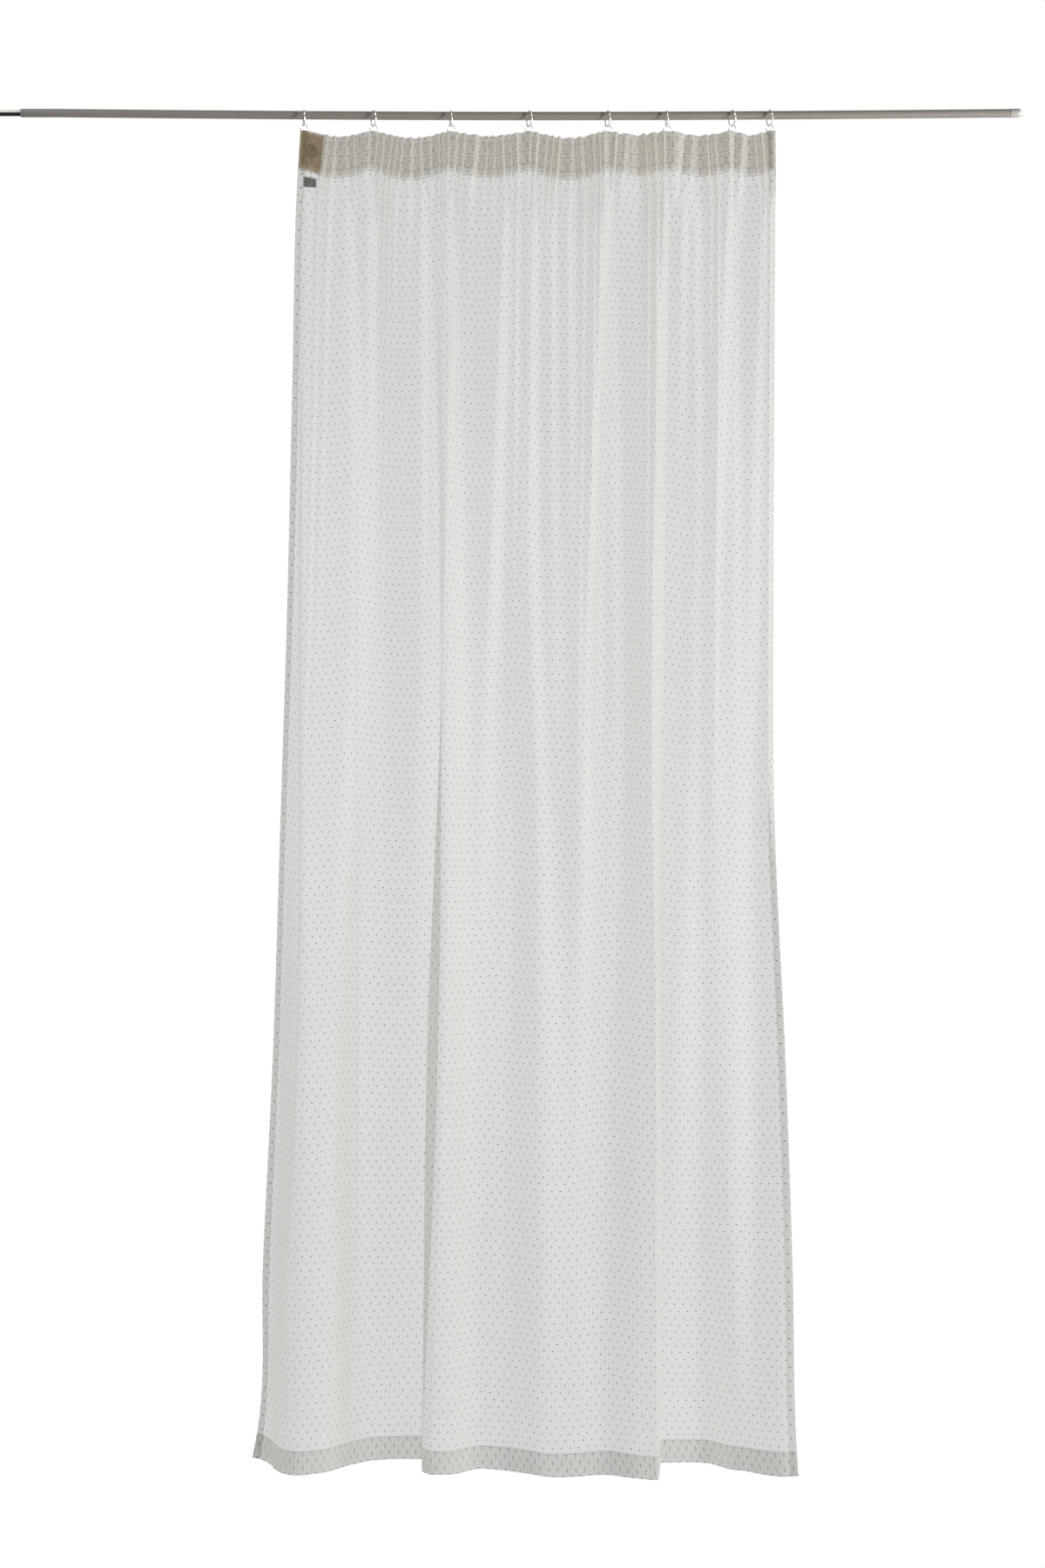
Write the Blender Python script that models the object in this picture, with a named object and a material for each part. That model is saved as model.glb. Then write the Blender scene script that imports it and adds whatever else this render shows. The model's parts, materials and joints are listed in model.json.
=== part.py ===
"""Sheer voile curtain, gathered along its heading and hung by eight wire rings from a plain rod.

Metres, +Z up. The origin is the centre of the rod's flat left end, +X runs along the rod and -Y
points into the room, towards whoever looks at the curtain. Distances across the cloth are measured
from the curtain's centre line, distances down it from the top edge of its heading, and distances
forward of the rod's axis are positive towards the room.
"""

import math
from collections import namedtuple

import bmesh
import bpy
import numpy as np

# Rod: a thin inner tube slides in the outer tube, and an end cap closes the right end.
INNER_TUBE_DIAMETER = 0.0115
INNER_TUBE_SHOWN = 0.058
INNER_TUBE_IN_OUTER = 0.060
OUTER_TUBE_DIAMETER = 0.0155
ROD_LENGTH = 1.925
END_CAP_DIAMETER = 0.0165
END_CAP_LENGTH = 0.026
END_CAP_CHAMFER = 0.003
ROD_SAG = 0.0055
ROD_STRAIGHT_END = 0.130
ROD_POINTS = 11
GAP = 0.0003

# Rings: a big wire ring rides on the rod, and a wire eye linked through it takes the hook.
RING_OUTER_DIAMETER = 0.0315
RING_WIRE = 0.0025
EYE_OUTER_DIAMETER = 0.0150
EYE_WIRE = 0.0014
HOOK_WIRE = 0.0012
HOOK_CROOK_RADIUS = 0.0022
HOOK_LENGTH = 0.017
HOOK_PRONG = 0.009

# Cloth
CURTAIN_CENTRE_X = 0.991
FLAT_WIDTH = 1.400
FLAT_LENGTH = 2.492
VOILE_THICKNESS = 0.0010
HEM_THICKNESS = 0.0016
SIDE_HEM = 0.015
BOTTOM_HEM = 0.045
HEADING_DEPTH = 0.0745
TAPE_DEPTH = 0.066
TAPE_THICKNESS = 0.0010
TAPE_TOP_INSET = 0.002
TAPE_END_INSET = 0.003
TAPE_CLEARANCE = 0.00035
HEADING_TOP_BELOW_ROD = 0.0305
RIGHT_CORNER_DROP = 0.008

# Gathers drawn up by the tape, and how far they open out below it
GATHERS = 48
GATHER_DEPTH = 0.0046
PLAIN_LEFT_END = 0.032
PLAIN_RIGHT_END = 0.010
HOOK_FLATTENS = 0.85
HOOK_REACH = 0.006
HEADING_FORWARD = 0.0115
HEADING_HOLLOW = 0.008
FREE_OF_HEADING = 0.30
FOLD_SHARE_AT_TOP = 0.20
FOLDS_FORM_IN = 0.10
SAG_LEFT_AT_HEM = 0.4

# Fineness of the cloth's solid, and limits that keep its numbers sound
COLUMNS = 176
ACROSS_SAMPLES = 2400
HALVINGS = 30
SHARPEST_MITRE = 0.35
STEEPEST_FALL = 0.9

# Cord coil and label at the left end of the heading
COIL_WIDTH = 0.0245
COIL_HEIGHT = 0.030
COIL_CORD = 0.0056
COIL_THICKNESS = 0.0036
COIL_CLEARANCE = 0.0008
COIL_ACROSS = -0.3930
COIL_DROP = 0.034
LABEL_WIDTH = 0.0245
LABEL_HEIGHT = 0.019
LABEL_THICKNESS = 0.0011
LABEL_CLEARANCE = 0.0006
LABEL_ACROSS = -0.4065
LABEL_DROP = 0.0815
LABEL_CURL = 0.004
LABEL_SLOPE = math.radians(7)

Hook = namedtuple("Hook", "across sag_to_next turn")
HOOKS = (
    Hook(-0.4065, 0.0095, math.radians(11)),
    Hook(-0.2770, 0.0115, math.radians(21)),
    Hook(-0.1328, 0.0080, math.radians(9)),
    Hook(0.0130, 0.0110, math.radians(20)),
    Hook(0.1588, 0.0045, math.radians(17)),
    Hook(0.2689, 0.0065, math.radians(5)),
    Hook(0.3904, 0.0065, math.radians(21)),
    Hook(0.4601, 0.0, math.radians(17)),
)

# The curtain's outline and how far forward its two edges hang, from the heading to the hem
Level = namedtuple("Level", "drop left right left_forward right_forward")
LEVELS = (
    Level(0.00, -0.412, 0.470, 0.010, 0.010),
    Level(0.10, -0.418, 0.471, 0.008, 0.008),
    Level(0.45, -0.428, 0.471, -0.004, 0.000),
    Level(0.85, -0.438, 0.470, -0.014, -0.008),
    Level(1.30, -0.454, 0.473, -0.035, -0.022),
    Level(1.75, -0.471, 0.494, -0.060, -0.030),
    Level(2.13, -0.490, 0.504, -0.068, -0.004),
    Level(2.44, -0.500, 0.508, -0.070, 0.024),
    Level(2.50, -0.510, 0.511, -0.056, 0.034),
)

# Each fold is a wall of cloth that turns away from the room (steps > 0) or comes towards it, read
# from left to right. Places across, steps and widths are given at four heights of the drop.
FOLD_DROPS = (0.15, 0.85, 1.75, 2.47)
Fold = namedtuple("Fold", "name across steps widths")
FOLDS = (
    Fold("left_turn", (-0.405, -0.424, -0.440, -0.462), (-0.003, -0.012, -0.078, -0.104),
         (0.012, 0.020, 0.050, 0.068)),
    Fold("left_back", (-0.318, -0.301, -0.326, -0.330), (0.008, 0.022, 0.062, 0.090),
         (0.016, 0.016, 0.055, 0.085)),
    Fold("hook_2", (-0.277, -0.275, -0.269, -0.265), (0.020, 0.013, 0.003, 0.000),
         (0.013, 0.013, 0.020, 0.030)),
    Fold("before_front", (-0.180, -0.172, -0.192, -0.199), (0.012, 0.028, 0.006, 0.000),
         (0.013, 0.014, 0.020, 0.030)),
    Fold("front_left_wall", (-0.160, -0.149, -0.168, -0.188), (0.000, -0.022, -0.082, -0.096),
         (0.013, 0.013, 0.013, 0.014)),
    Fold("hook_3", (-0.130, -0.123, -0.115, -0.112), (0.018, 0.032, 0.045, 0.046),
         (0.013, 0.013, 0.035, 0.060)),
    Fold("hook_3_right", (-0.028, -0.047, -0.068, -0.070), (0.015, 0.028, 0.004, 0.000),
         (0.013, 0.014, 0.020, 0.030)),
    Fold("hook_4_left", (-0.008, -0.003, -0.019, -0.019), (0.010, 0.012, 0.002, 0.000),
         (0.013, 0.013, 0.020, 0.030)),
    Fold("middle_front", (0.006, 0.010, 0.000, -0.003), (0.000, -0.008, -0.036, -0.038),
         (0.013, 0.013, 0.028, 0.042)),
    Fold("hook_4", (0.023, 0.023, 0.060, 0.066), (0.018, 0.026, 0.016, 0.003),
         (0.013, 0.013, 0.022, 0.040)),
    Fold("hook_4_right", (0.058, 0.065, 0.084, 0.088), (0.008, 0.012, 0.004, 0.000),
         (0.013, 0.013, 0.020, 0.030)),
    Fold("between_4_and_5", (0.091, 0.100, 0.105, 0.105), (0.015, 0.006, 0.000, 0.000),
         (0.013, 0.013, 0.020, 0.030)),
    Fold("hook_5", (0.156, 0.139, 0.126, 0.120), (0.018, 0.042, 0.028, 0.007),
         (0.013, 0.015, 0.020, 0.040)),
    Fold("hook_5_right", (0.166, 0.178, 0.183, 0.183), (0.010, 0.022, 0.004, 0.000),
         (0.013, 0.013, 0.020, 0.030)),
    Fold("front_again", (0.215, 0.207, 0.194, 0.180), (0.000, -0.008, -0.038, -0.026),
         (0.020, 0.020, 0.026, 0.034)),
    Fold("front_right_wall", (0.267, 0.249, 0.253, 0.256), (0.022, 0.056, 0.098, 0.094),
         (0.014, 0.017, 0.014, 0.013)),
    Fold("hook_6_right", (0.303, 0.298, 0.290, 0.285), (0.012, 0.007, 0.000, 0.000),
         (0.013, 0.014, 0.020, 0.030)),
    Fold("right_hollow", (0.330, 0.330, 0.314, 0.300), (0.010, 0.028, 0.008, 0.024),
         (0.013, 0.014, 0.030, 0.055)),
    Fold("right_rise", (0.350, 0.350, 0.356, 0.377), (0.000, 0.000, -0.022, -0.046),
         (0.030, 0.030, 0.036, 0.040)),
    Fold("hook_7", (0.386, 0.366, 0.374, 0.374), (0.018, 0.032, 0.004, 0.000),
         (0.013, 0.014, 0.020, 0.030)),
    Fold("hook_7_right", (0.399, 0.400, 0.416, 0.420), (0.008, 0.015, 0.020, 0.000),
         (0.013, 0.013, 0.022, 0.040)),
    Fold("hook_8", (0.452, 0.439, 0.431, 0.431), (0.012, 0.018, 0.000, 0.000),
         (0.012, 0.013, 0.020, 0.030)),
    Fold("right_edge_rise", (0.462, 0.458, 0.462, 0.450), (0.000, 0.000, -0.014, -0.040),
         (0.012, 0.016, 0.040, 0.060)),
)

# Where the cloth between the folds hangs, given across and forward at the same four heights. The
# edges of LEVELS are the two ends of this line.
Stand = namedtuple("Stand", "name across forward")
STANDS = (
    Stand("left_panel", (-0.365, -0.365, -0.379, -0.424), (0.006, 0.008, 0.022, 0.032)),
    Stand("left_hollow", (-0.215, -0.215, -0.232, -0.250), (0.002, -0.004, -0.038, -0.074)),
    Stand("left_front", (-0.144, -0.138, -0.152, -0.152), (0.008, 0.016, 0.057, 0.036)),
    Stand("middle_hollow", (-0.080, -0.080, -0.045, -0.045), (-0.002, -0.008, 0.011, -0.012)),
    Stand("middle_front", (0.040, 0.042, 0.028, 0.028), (0.000, -0.004, 0.046, 0.024)),
    Stand("right_hollow", (0.110, 0.114, 0.160, 0.146), (-0.002, 0.012, 0.007, 0.021)),
    Stand("right_front", (0.240, 0.232, 0.235, 0.228), (0.008, 0.030, 0.054, 0.045)),
    Stand("right_back", (0.316, 0.308, 0.272, 0.320), (-0.004, -0.022, -0.046, -0.070)),
    Stand("right_panel", (0.372, 0.383, 0.384, 0.395), (0.006, -0.010, -0.036, -0.018)),
)

# How deep the gathers still are on the way down
Gathering = namedtuple("Gathering", "drop share")
GATHERING = (
    Gathering(0.00, 1.00),
    Gathering(0.08, 0.97),
    Gathering(0.16, 0.60),
    Gathering(0.35, 0.28),
    Gathering(0.85, 0.08),
    Gathering(1.50, 0.00),
    Gathering(2.50, 0.00),
)

# Heights of the rows of the panel's solid; the last three bound the bottom hem
ROWS = (0.0, HEADING_DEPTH, 0.15, 0.30, 0.55, 0.90, 1.30, 1.75, 2.13, FLAT_LENGTH - BOTTOM_HEM - 0.004,
        FLAT_LENGTH - BOTTOM_HEM, FLAT_LENGTH)


def material(name, colour, roughness, metallic=0.0):
    """A Principled material of one linear colour."""
    made = bpy.data.materials.new(name)
    made.use_nodes = True
    shader = made.node_tree.nodes["Principled BSDF"]
    shader.inputs["Base Color"].default_value = (*colour, 1.0)
    shader.inputs["Roughness"].default_value = roughness
    shader.inputs["Metallic"].default_value = metallic
    return made


def smooth_step(t):
    """0 before t = 0, 1 after t = 1, and a soft S between."""
    t = np.clip(t, 0.0, 1.0)
    return t * t * (3.0 - 2.0 * t)


def smooth_through(places, values, at):
    """The value at a place on a smooth curve through the values given at rising places."""
    places, values = np.asarray(places, float), np.asarray(values, float)
    slopes = np.gradient(values, places)
    at = float(np.clip(at, places[0], places[-1]))
    i = int(np.clip(np.searchsorted(places, at) - 1, 0, len(places) - 2))
    span = places[i + 1] - places[i]
    t = (at - places[i]) / span
    rise, bend = t * t * (3 - 2 * t), t * (1 - t)
    return (values[i] + (values[i + 1] - values[i]) * rise
            + span * bend * (slopes[i] * (1 - t) - slopes[i + 1] * t))


def at_level(column, drop):
    """One column of LEVELS read at a drop below the heading's top edge."""
    drops = [level.drop for level in LEVELS]
    return smooth_through(drops, [getattr(level, column) for level in LEVELS], drop)


def rod_axis_z(x):
    """Height of the rod's axis, which bows a little under its load past the straight left end."""
    t = (x - ROD_STRAIGHT_END) / (ROD_LENGTH - ROD_STRAIGHT_END)
    return -ROD_SAG * math.sin(math.pi * min(max(t, 0.0), 1.0))


def heading_sag(across):
    """How far the heading's top edge hangs below its hooks, which swag it from one to the next."""
    sag = np.zeros_like(across)
    for hook, following in zip(HOOKS, HOOKS[1:]):
        t = np.clip((across - hook.across) / (following.across - hook.across), 0.0, 1.0)
        sag += hook.sag_to_next * np.sin(math.pi * t) ** 1.3
    return sag


def heading_forward(across):
    """How far forward the heading hangs: it stands out at each hook and falls back between them."""
    hollow = np.zeros_like(across)
    for hook, following in zip(HOOKS, HOOKS[1:]):
        t = np.clip((across - hook.across) / (following.across - hook.across), 0.0, 1.0)
        hollow += np.sin(math.pi * t) ** 2
    return HEADING_FORWARD - HEADING_HOLLOW * hollow


def gathers(across, left, right):
    """The tape's gathers, uneven in pitch and depth, with a plain piece at the left end."""
    s = (across - left) / (right - left)
    turns = 2 * math.pi
    phase = GATHERS * s + 0.45 * np.sin(turns * (3.1 * s + 0.2)) + 0.25 * np.sin(turns * (7.3 * s + 0.6))
    depth = 1.0 + 0.20 * np.sin(turns * (5.7 * s + 0.1)) + 0.12 * np.sin(turns * (12.9 * s + 0.4))
    gathered = smooth_step((across - left) / PLAIN_LEFT_END - 1)
    gathered *= smooth_step((right - across) / PLAIN_RIGHT_END)
    for hook in HOOKS:
        gathered *= 1.0 - HOOK_FLATTENS * np.exp(-(((across - hook.across) / HOOK_REACH) ** 2))
    return GATHER_DEPTH * depth * gathered * np.sin(turns * phase)


def walls(across, drop):
    """The walls of the folds at one height, as distances forward, before they are brought into line."""
    forward = np.zeros_like(across)
    for fold in FOLDS:
        centre, step, width = (smooth_through(FOLD_DROPS, values, drop) for values in fold[1:])
        forward -= step * smooth_step((across - centre) / width + 0.5)
    return forward


def stand_line(across, drop):
    """The places where the cloth's distance forward is given at one height, and those distances."""
    places = [across[0], *(smooth_through(FOLD_DROPS, stand.across, drop) for stand in STANDS), across[-1]]
    forward = [smooth_through(FOLD_DROPS, stand.forward, drop) for stand in STANDS]
    return places, [at_level("left_forward", drop), *forward, at_level("right_forward", drop)]


def cross_section(drop):
    """(across, forward, length so far) of the cloth at one height. The folds are opened or closed
    until the cloth's own width is FLAT_WIDTH, because cloth doesn't stretch."""
    left, right = at_level("left", drop), at_level("right", drop)
    across = np.linspace(left, right, ACROSS_SAMPLES)
    places, stands = stand_line(across, drop)
    heading = 1.0 - float(smooth_step((drop - HEADING_DEPTH) / FREE_OF_HEADING))
    base = np.interp(across, places, stands) * (1 - heading) + heading_forward(across) * heading
    raised = walls(across, drop)
    raised -= np.interp(across, places, np.interp(places, across, raised))
    share = smooth_through([g.drop for g in GATHERING], [g.share for g in GATHERING], drop)
    below_heading = float(smooth_step((drop - HEADING_DEPTH) / FOLDS_FORM_IN))
    presence = FOLD_SHARE_AT_TOP + (1 - FOLD_SHARE_AT_TOP) * below_heading
    relief = presence * raised + share * gathers(across, left, right)
    low, high = 0.2, 3.0
    for _ in range(HALVINGS):
        depth = (low + high) / 2
        forward = base + depth * relief
        along = np.concatenate([[0.0], np.cumsum(np.hypot(np.diff(across), np.diff(forward)))])
        low, high = (depth, high) if along[-1] < FLAT_WIDTH else (low, depth)
    return across, forward, along


def cloth_rows(drops, from_left):
    """Arrays of x, y and z with a row for each drop and a column for each distance from the left
    edge of the flat cloth. Each thread that runs down keeps its length from row to row. The tape
    keeps one cross-section through the whole depth of the heading."""
    across, forward = [], []
    for drop in drops:
        section_across, section_forward, along = cross_section(max(drop, HEADING_DEPTH))
        reached = from_left * along[-1] / FLAT_WIDTH
        left, right = at_level("left", drop), at_level("right", drop)
        fitted = np.interp(section_across, [section_across[0], section_across[-1]], [left, right])
        across.append(np.interp(reached, along, fitted))
        forward.append(np.interp(reached, along, section_forward))
    across, forward = np.array(across), np.array(forward)
    fallen = np.zeros_like(across)
    for i in range(1, len(drops)):
        sideways = np.hypot(across[i] - across[i - 1], forward[i] - forward[i - 1])
        step = drops[i] - drops[i - 1]
        fallen[i] = fallen[i - 1] + np.sqrt(np.maximum(step**2 - sideways**2, (STEEPEST_FALL * step) ** 2))
    share_down = np.asarray(drops)[:, None] / FLAT_LENGTH
    sag = heading_sag(across[0]) * (1 - (1 - SAG_LEFT_AT_HEM) * smooth_step(share_down))
    slant = RIGHT_CORNER_DROP * share_down * (from_left / FLAT_WIDTH)
    rod = np.array([rod_axis_z(x + CURTAIN_CENTRE_X) for x in across[0]])
    z = rod - HEADING_TOP_BELOW_ROD - sag - slant - fallen
    return across + CURTAIN_CENTRE_X, -forward, z


def beside(x, y, distance):
    """The rows moved sideways by a distance towards the room, with the corners mitred."""
    dx, dy = np.diff(x, axis=1), np.diff(y, axis=1)
    length = np.hypot(dx, dy)
    normal = np.stack([dy / length, -dx / length])
    before = np.concatenate([normal[:, :, :1], normal], axis=2)
    after = np.concatenate([normal, normal[:, :, -1:]], axis=2)
    middle = before + after
    middle /= np.linalg.norm(middle, axis=0)
    mitre = 1.0 / np.clip((middle * before).sum(axis=0), SHARPEST_MITRE, 1.0)
    return x + distance * mitre * middle[0], y + distance * mitre * middle[1]


def mesh_object(name, build, finish):
    """An object whose mesh is filled in by a function that is given a bmesh."""
    mesh = bpy.data.meshes.new(name)
    shape = bmesh.new()
    build(shape)
    bmesh.ops.recalc_face_normals(shape, faces=shape.faces)
    shape.to_mesh(mesh)
    shape.free()
    mesh.shade_smooth()
    mesh.set_sharp_from_angle(angle=math.radians(35))
    made = bpy.data.objects.new(name, mesh)
    made.data.materials.append(finish)
    bpy.context.scene.collection.objects.link(made)
    return made


def sheet(name, rows, front, back, finish):
    """A closed sheet whose front and back lie at signed distances from the cloth's middle surface."""
    x, y, z = rows

    def build(shape):
        faces = []
        for distance in (front, back):
            moved_x, moved_y = beside(x, y, distance)
            places = zip(moved_x, moved_y, z)
            faces.append([[shape.verts.new(point) for point in zip(*row)] for row in places])
        count, width = z.shape
        for side in faces:
            for i in range(count - 1):
                for j in range(width - 1):
                    shape.faces.new((side[i][j], side[i][j + 1], side[i + 1][j + 1], side[i + 1][j]))
        near, far = faces
        for i in (0, count - 1):
            for j in range(width - 1):
                shape.faces.new((near[i][j], near[i][j + 1], far[i][j + 1], far[i][j]))
        for j in (0, width - 1):
            for i in range(count - 1):
                shape.faces.new((near[i][j], near[i + 1][j], far[i + 1][j], far[i][j]))

    return mesh_object(name, build, finish)


def voile_panel(finish):
    """The dotted voile with its hems, thicker where the cloth is turned over."""
    from_left = np.linspace(0.0, FLAT_WIDTH, COLUMNS + 1)
    rows = cloth_rows(ROWS, from_left)
    in_side_hem = (from_left < SIDE_HEM) | (from_left > FLAT_WIDTH - SIDE_HEM)
    in_bottom_hem = np.array(ROWS) > FLAT_LENGTH - BOTTOM_HEM - 0.001
    thickness = np.where(in_bottom_hem[:, None] | in_side_hem[None, :], HEM_THICKNESS, VOILE_THICKNESS)
    half = VOILE_THICKNESS / 2
    return sheet("voile_panel", rows, half, half - thickness, finish)


def heading_tape(finish):
    """The gathering tape behind the heading. It follows the same gathers, a little in from each edge."""
    from_left = np.linspace(0.0, FLAT_WIDTH, COLUMNS + 1)
    rows = cloth_rows((0.0, HEADING_DEPTH), from_left)
    down = np.array([TAPE_TOP_INSET, TAPE_TOP_INSET + TAPE_DEPTH])[:, None] / HEADING_DEPTH
    in_from_edge = TAPE_END_INSET * COLUMNS / FLAT_WIDTH
    placed = []
    for values in rows:
        values = values[0] + (values[1] - values[0]) * down
        values[:, 0] += in_from_edge * (values[:, 1] - values[:, 0])
        values[:, -1] += in_from_edge * (values[:, -2] - values[:, -1])
        placed.append(values)
    front = VOILE_THICKNESS / 2 - HEM_THICKNESS - TAPE_CLEARANCE
    return sheet("heading_tape", placed, front, front - TAPE_THICKNESS, finish)


def cloth_patch(across, width, drop):
    """Middle of the cloth between two places at one drop, and how far it's turned about the vertical."""
    section_across, _, along = cross_section(drop)
    ends = np.interp([across - width / 2, across + width / 2], section_across, along)
    x, y, z = cloth_rows((0.0, drop), ends * FLAT_WIDTH / along[-1])
    turn = math.atan2(y[-1, 1] - y[-1, 0], x[-1, 1] - x[-1, 0])
    return x[-1].mean(), y[-1].mean(), z[-1].mean(), turn


def cord_coil(finish):
    """The surplus gathering cord, wound into a flat oval coil behind the tape."""
    x, y, z, turn = cloth_patch(COIL_ACROSS, COIL_WIDTH, COIL_DROP)
    behind = HEM_THICKNESS + TAPE_CLEARANCE + TAPE_THICKNESS + COIL_THICKNESS / 2 + COIL_CLEARANCE
    centre = (x - behind * math.sin(turn), y + behind * math.cos(turn), z)
    cord_share = COIL_CORD / 2 / COIL_WIDTH
    bpy.ops.mesh.primitive_torus_add(
        major_segments=24, minor_segments=8, location=centre, rotation=(math.pi / 2, 0, turn),
        major_radius=0.5 - cord_share, minor_radius=cord_share)
    made = bpy.context.object
    made.name = made.data.name = "gathering_cord_coil"
    made.scale = (COIL_WIDTH, COIL_HEIGHT, COIL_THICKNESS / (2 * cord_share))
    made.data.shade_smooth()
    made.data.materials.append(finish)
    return made


def sewn_label(finish):
    """The blank label sewn in at the side hem. Its free end slopes down and curls away from the cloth."""
    x, y, z, turn = cloth_patch(LABEL_ACROSS + LABEL_WIDTH / 2, LABEL_WIDTH, LABEL_DROP)
    behind = HEM_THICKNESS + LABEL_THICKNESS / 2 + LABEL_CLEARANCE
    along = np.linspace(0.0, LABEL_WIDTH, 7)
    curl = behind + LABEL_CURL * (along / LABEL_WIDTH) ** 3
    from_middle = along - LABEL_WIDTH / 2
    label_x = x + from_middle * math.cos(turn) - curl * math.sin(turn)
    label_y = y + from_middle * math.sin(turn) + curl * math.cos(turn)
    top = z - along * math.sin(LABEL_SLOPE)
    rows = (np.stack([label_x, label_x]), np.stack([label_y, label_y]), np.stack([top, top - LABEL_HEIGHT]))
    return sheet("sewn_label", rows, LABEL_THICKNESS / 2, -LABEL_THICKNESS / 2, finish)


def bar_along_x(name, diameter, start, end, finish):
    """A plain round bar along X."""
    bpy.ops.mesh.primitive_cylinder_add(
        vertices=16, radius=diameter / 2, depth=end - start, location=((start + end) / 2, 0, 0),
        rotation=(0, math.pi / 2, 0))
    made = bpy.context.object
    made.name = made.data.name = name
    made.data.shade_smooth()
    made.data.set_sharp_from_angle(angle=math.radians(35))
    made.data.materials.append(finish)
    return made


def wire(name, points, diameter, sides_level, finish):
    """A round wire or tube along a line of points."""
    data = bpy.data.curves.new(name, "CURVE")
    data.dimensions = "3D"
    data.bevel_depth = diameter / 2
    data.bevel_resolution = sides_level
    data.use_fill_caps = True
    spline = data.splines.new("POLY")
    spline.points.add(len(points) - 1)
    for place, point in zip(spline.points, points):
        place.co = (*point, 1.0)
    made = bpy.data.objects.new(name, data)
    data.materials.append(finish)
    bpy.context.scene.collection.objects.link(made)
    return made


def outer_tube(finish):
    """The outer tube, bored at the left for the inner tube, with a slight bow."""
    bowed = np.linspace(ROD_STRAIGHT_END, ROD_LENGTH - END_CAP_LENGTH, ROD_POINTS)
    places = [INNER_TUBE_SHOWN, *bowed]
    tube = wire("rod_outer_tube", [(x, 0.0, rod_axis_z(x)) for x in places], OUTER_TUBE_DIAMETER, 6, finish)
    bore_end = INNER_TUBE_SHOWN + INNER_TUBE_IN_OUTER + GAP
    cutter = bar_along_x("bore_guide", INNER_TUBE_DIAMETER + 2 * GAP, INNER_TUBE_SHOWN / 2, bore_end, finish)
    cutter.hide_render = True
    cutter.display_type = "WIRE"
    bpy.ops.object.select_all(action="DESELECT")
    tube.select_set(True)
    bpy.context.view_layer.objects.active = tube
    bpy.ops.object.convert(target="MESH")
    tube = bpy.context.object
    weld = tube.modifiers.new("close_caps", "WELD")
    weld.merge_threshold = 0.00001
    bore = tube.modifiers.new("bore", "BOOLEAN")
    bore.object = cutter
    bore.operation = "DIFFERENCE"
    return tube


def end_cap(finish):
    """The right end cap with its chamfered rim."""
    height = rod_axis_z(ROD_LENGTH - END_CAP_LENGTH)
    cap = bar_along_x("rod_end_cap", END_CAP_DIAMETER, ROD_LENGTH - END_CAP_LENGTH + GAP, ROD_LENGTH, finish)
    cap.location.z = height
    far_end = max(vertex.co.z for vertex in cap.data.vertices)
    shape = bmesh.new()
    shape.from_mesh(cap.data)
    rim = [edge for edge in shape.edges if all(abs(v.co.z - far_end) < 1e-6 for v in edge.verts)]
    bmesh.ops.bevel(shape, geom=rim, offset=END_CAP_CHAMFER, segments=2, affect="EDGES")
    shape.to_mesh(cap.data)
    shape.free()
    return cap


def ring_centre(hook):
    """Centre of the big ring that hangs on the rod at a hook."""
    x = hook.across + CURTAIN_CENTRE_X
    inner_radius = RING_OUTER_DIAMETER / 2 - RING_WIRE
    return x, 0.0, rod_axis_z(x) + OUTER_TUBE_DIAMETER / 2 + GAP - inner_radius


def wire_ring(name, outer_diameter, wire_diameter, centre, turn, segments, finish):
    """A wire ring that stands upright, turned about the vertical from facing the room."""
    bpy.ops.mesh.primitive_torus_add(
        major_segments=segments[0], minor_segments=segments[1], location=centre,
        rotation=(math.pi / 2, 0, turn), major_radius=(outer_diameter - wire_diameter) / 2,
        minor_radius=wire_diameter / 2)
    made = bpy.context.object
    made.name = made.data.name = name
    made.data.shade_smooth()
    made.data.materials.append(finish)
    return made


def eye_centre(hook):
    """Centre of the wire eye that hangs from the big ring's lowest point."""
    x, y, z = ring_centre(hook)
    wire_top = z - (RING_OUTER_DIAMETER / 2 - RING_WIRE)
    return x, y, wire_top + GAP + EYE_WIRE - EYE_OUTER_DIAMETER / 2


def hook_points(hook):
    """The hook's line: a crook over the eye's lowest point, a shank behind the tape and a prong."""
    x, y, z = eye_centre(hook)
    seat = z - (EYE_OUTER_DIAMETER - EYE_WIRE) / 2
    radius = HOOK_CROOK_RADIUS
    crook = [(x, y + radius * math.cos(a), seat + radius * math.sin(a)) for a in np.linspace(0, math.pi, 6)]
    foot = seat - HOOK_LENGTH
    turn = [(x, y - radius * math.cos(a), foot - radius * math.sin(a)) for a in np.linspace(0, math.pi, 6)]
    tip = (x, y + radius, seat - 2 * radius)
    prong = (x, y + radius, foot + HOOK_PRONG)
    return [tip, *crook, *turn, prong]


def hanging_hardware(finish):
    """A big ring, a wire eye and a hook at each of the eight places."""
    made = []
    for number, hook in enumerate(HOOKS, 1):
        made.append(wire_ring(f"ring_{number}", RING_OUTER_DIAMETER, RING_WIRE, ring_centre(hook),
                              math.pi / 2 + hook.turn, (18, 6), finish))
        made.append(wire_ring(f"eye_{number}", EYE_OUTER_DIAMETER, EYE_WIRE, eye_centre(hook),
                              0.0, (14, 5), finish))
        made.append(wire(f"hook_{number}", hook_points(hook), HOOK_WIRE, 1, finish))
    return made


def clear_scene():
    for old in list(bpy.data.objects):
        bpy.data.objects.remove(old)


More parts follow.
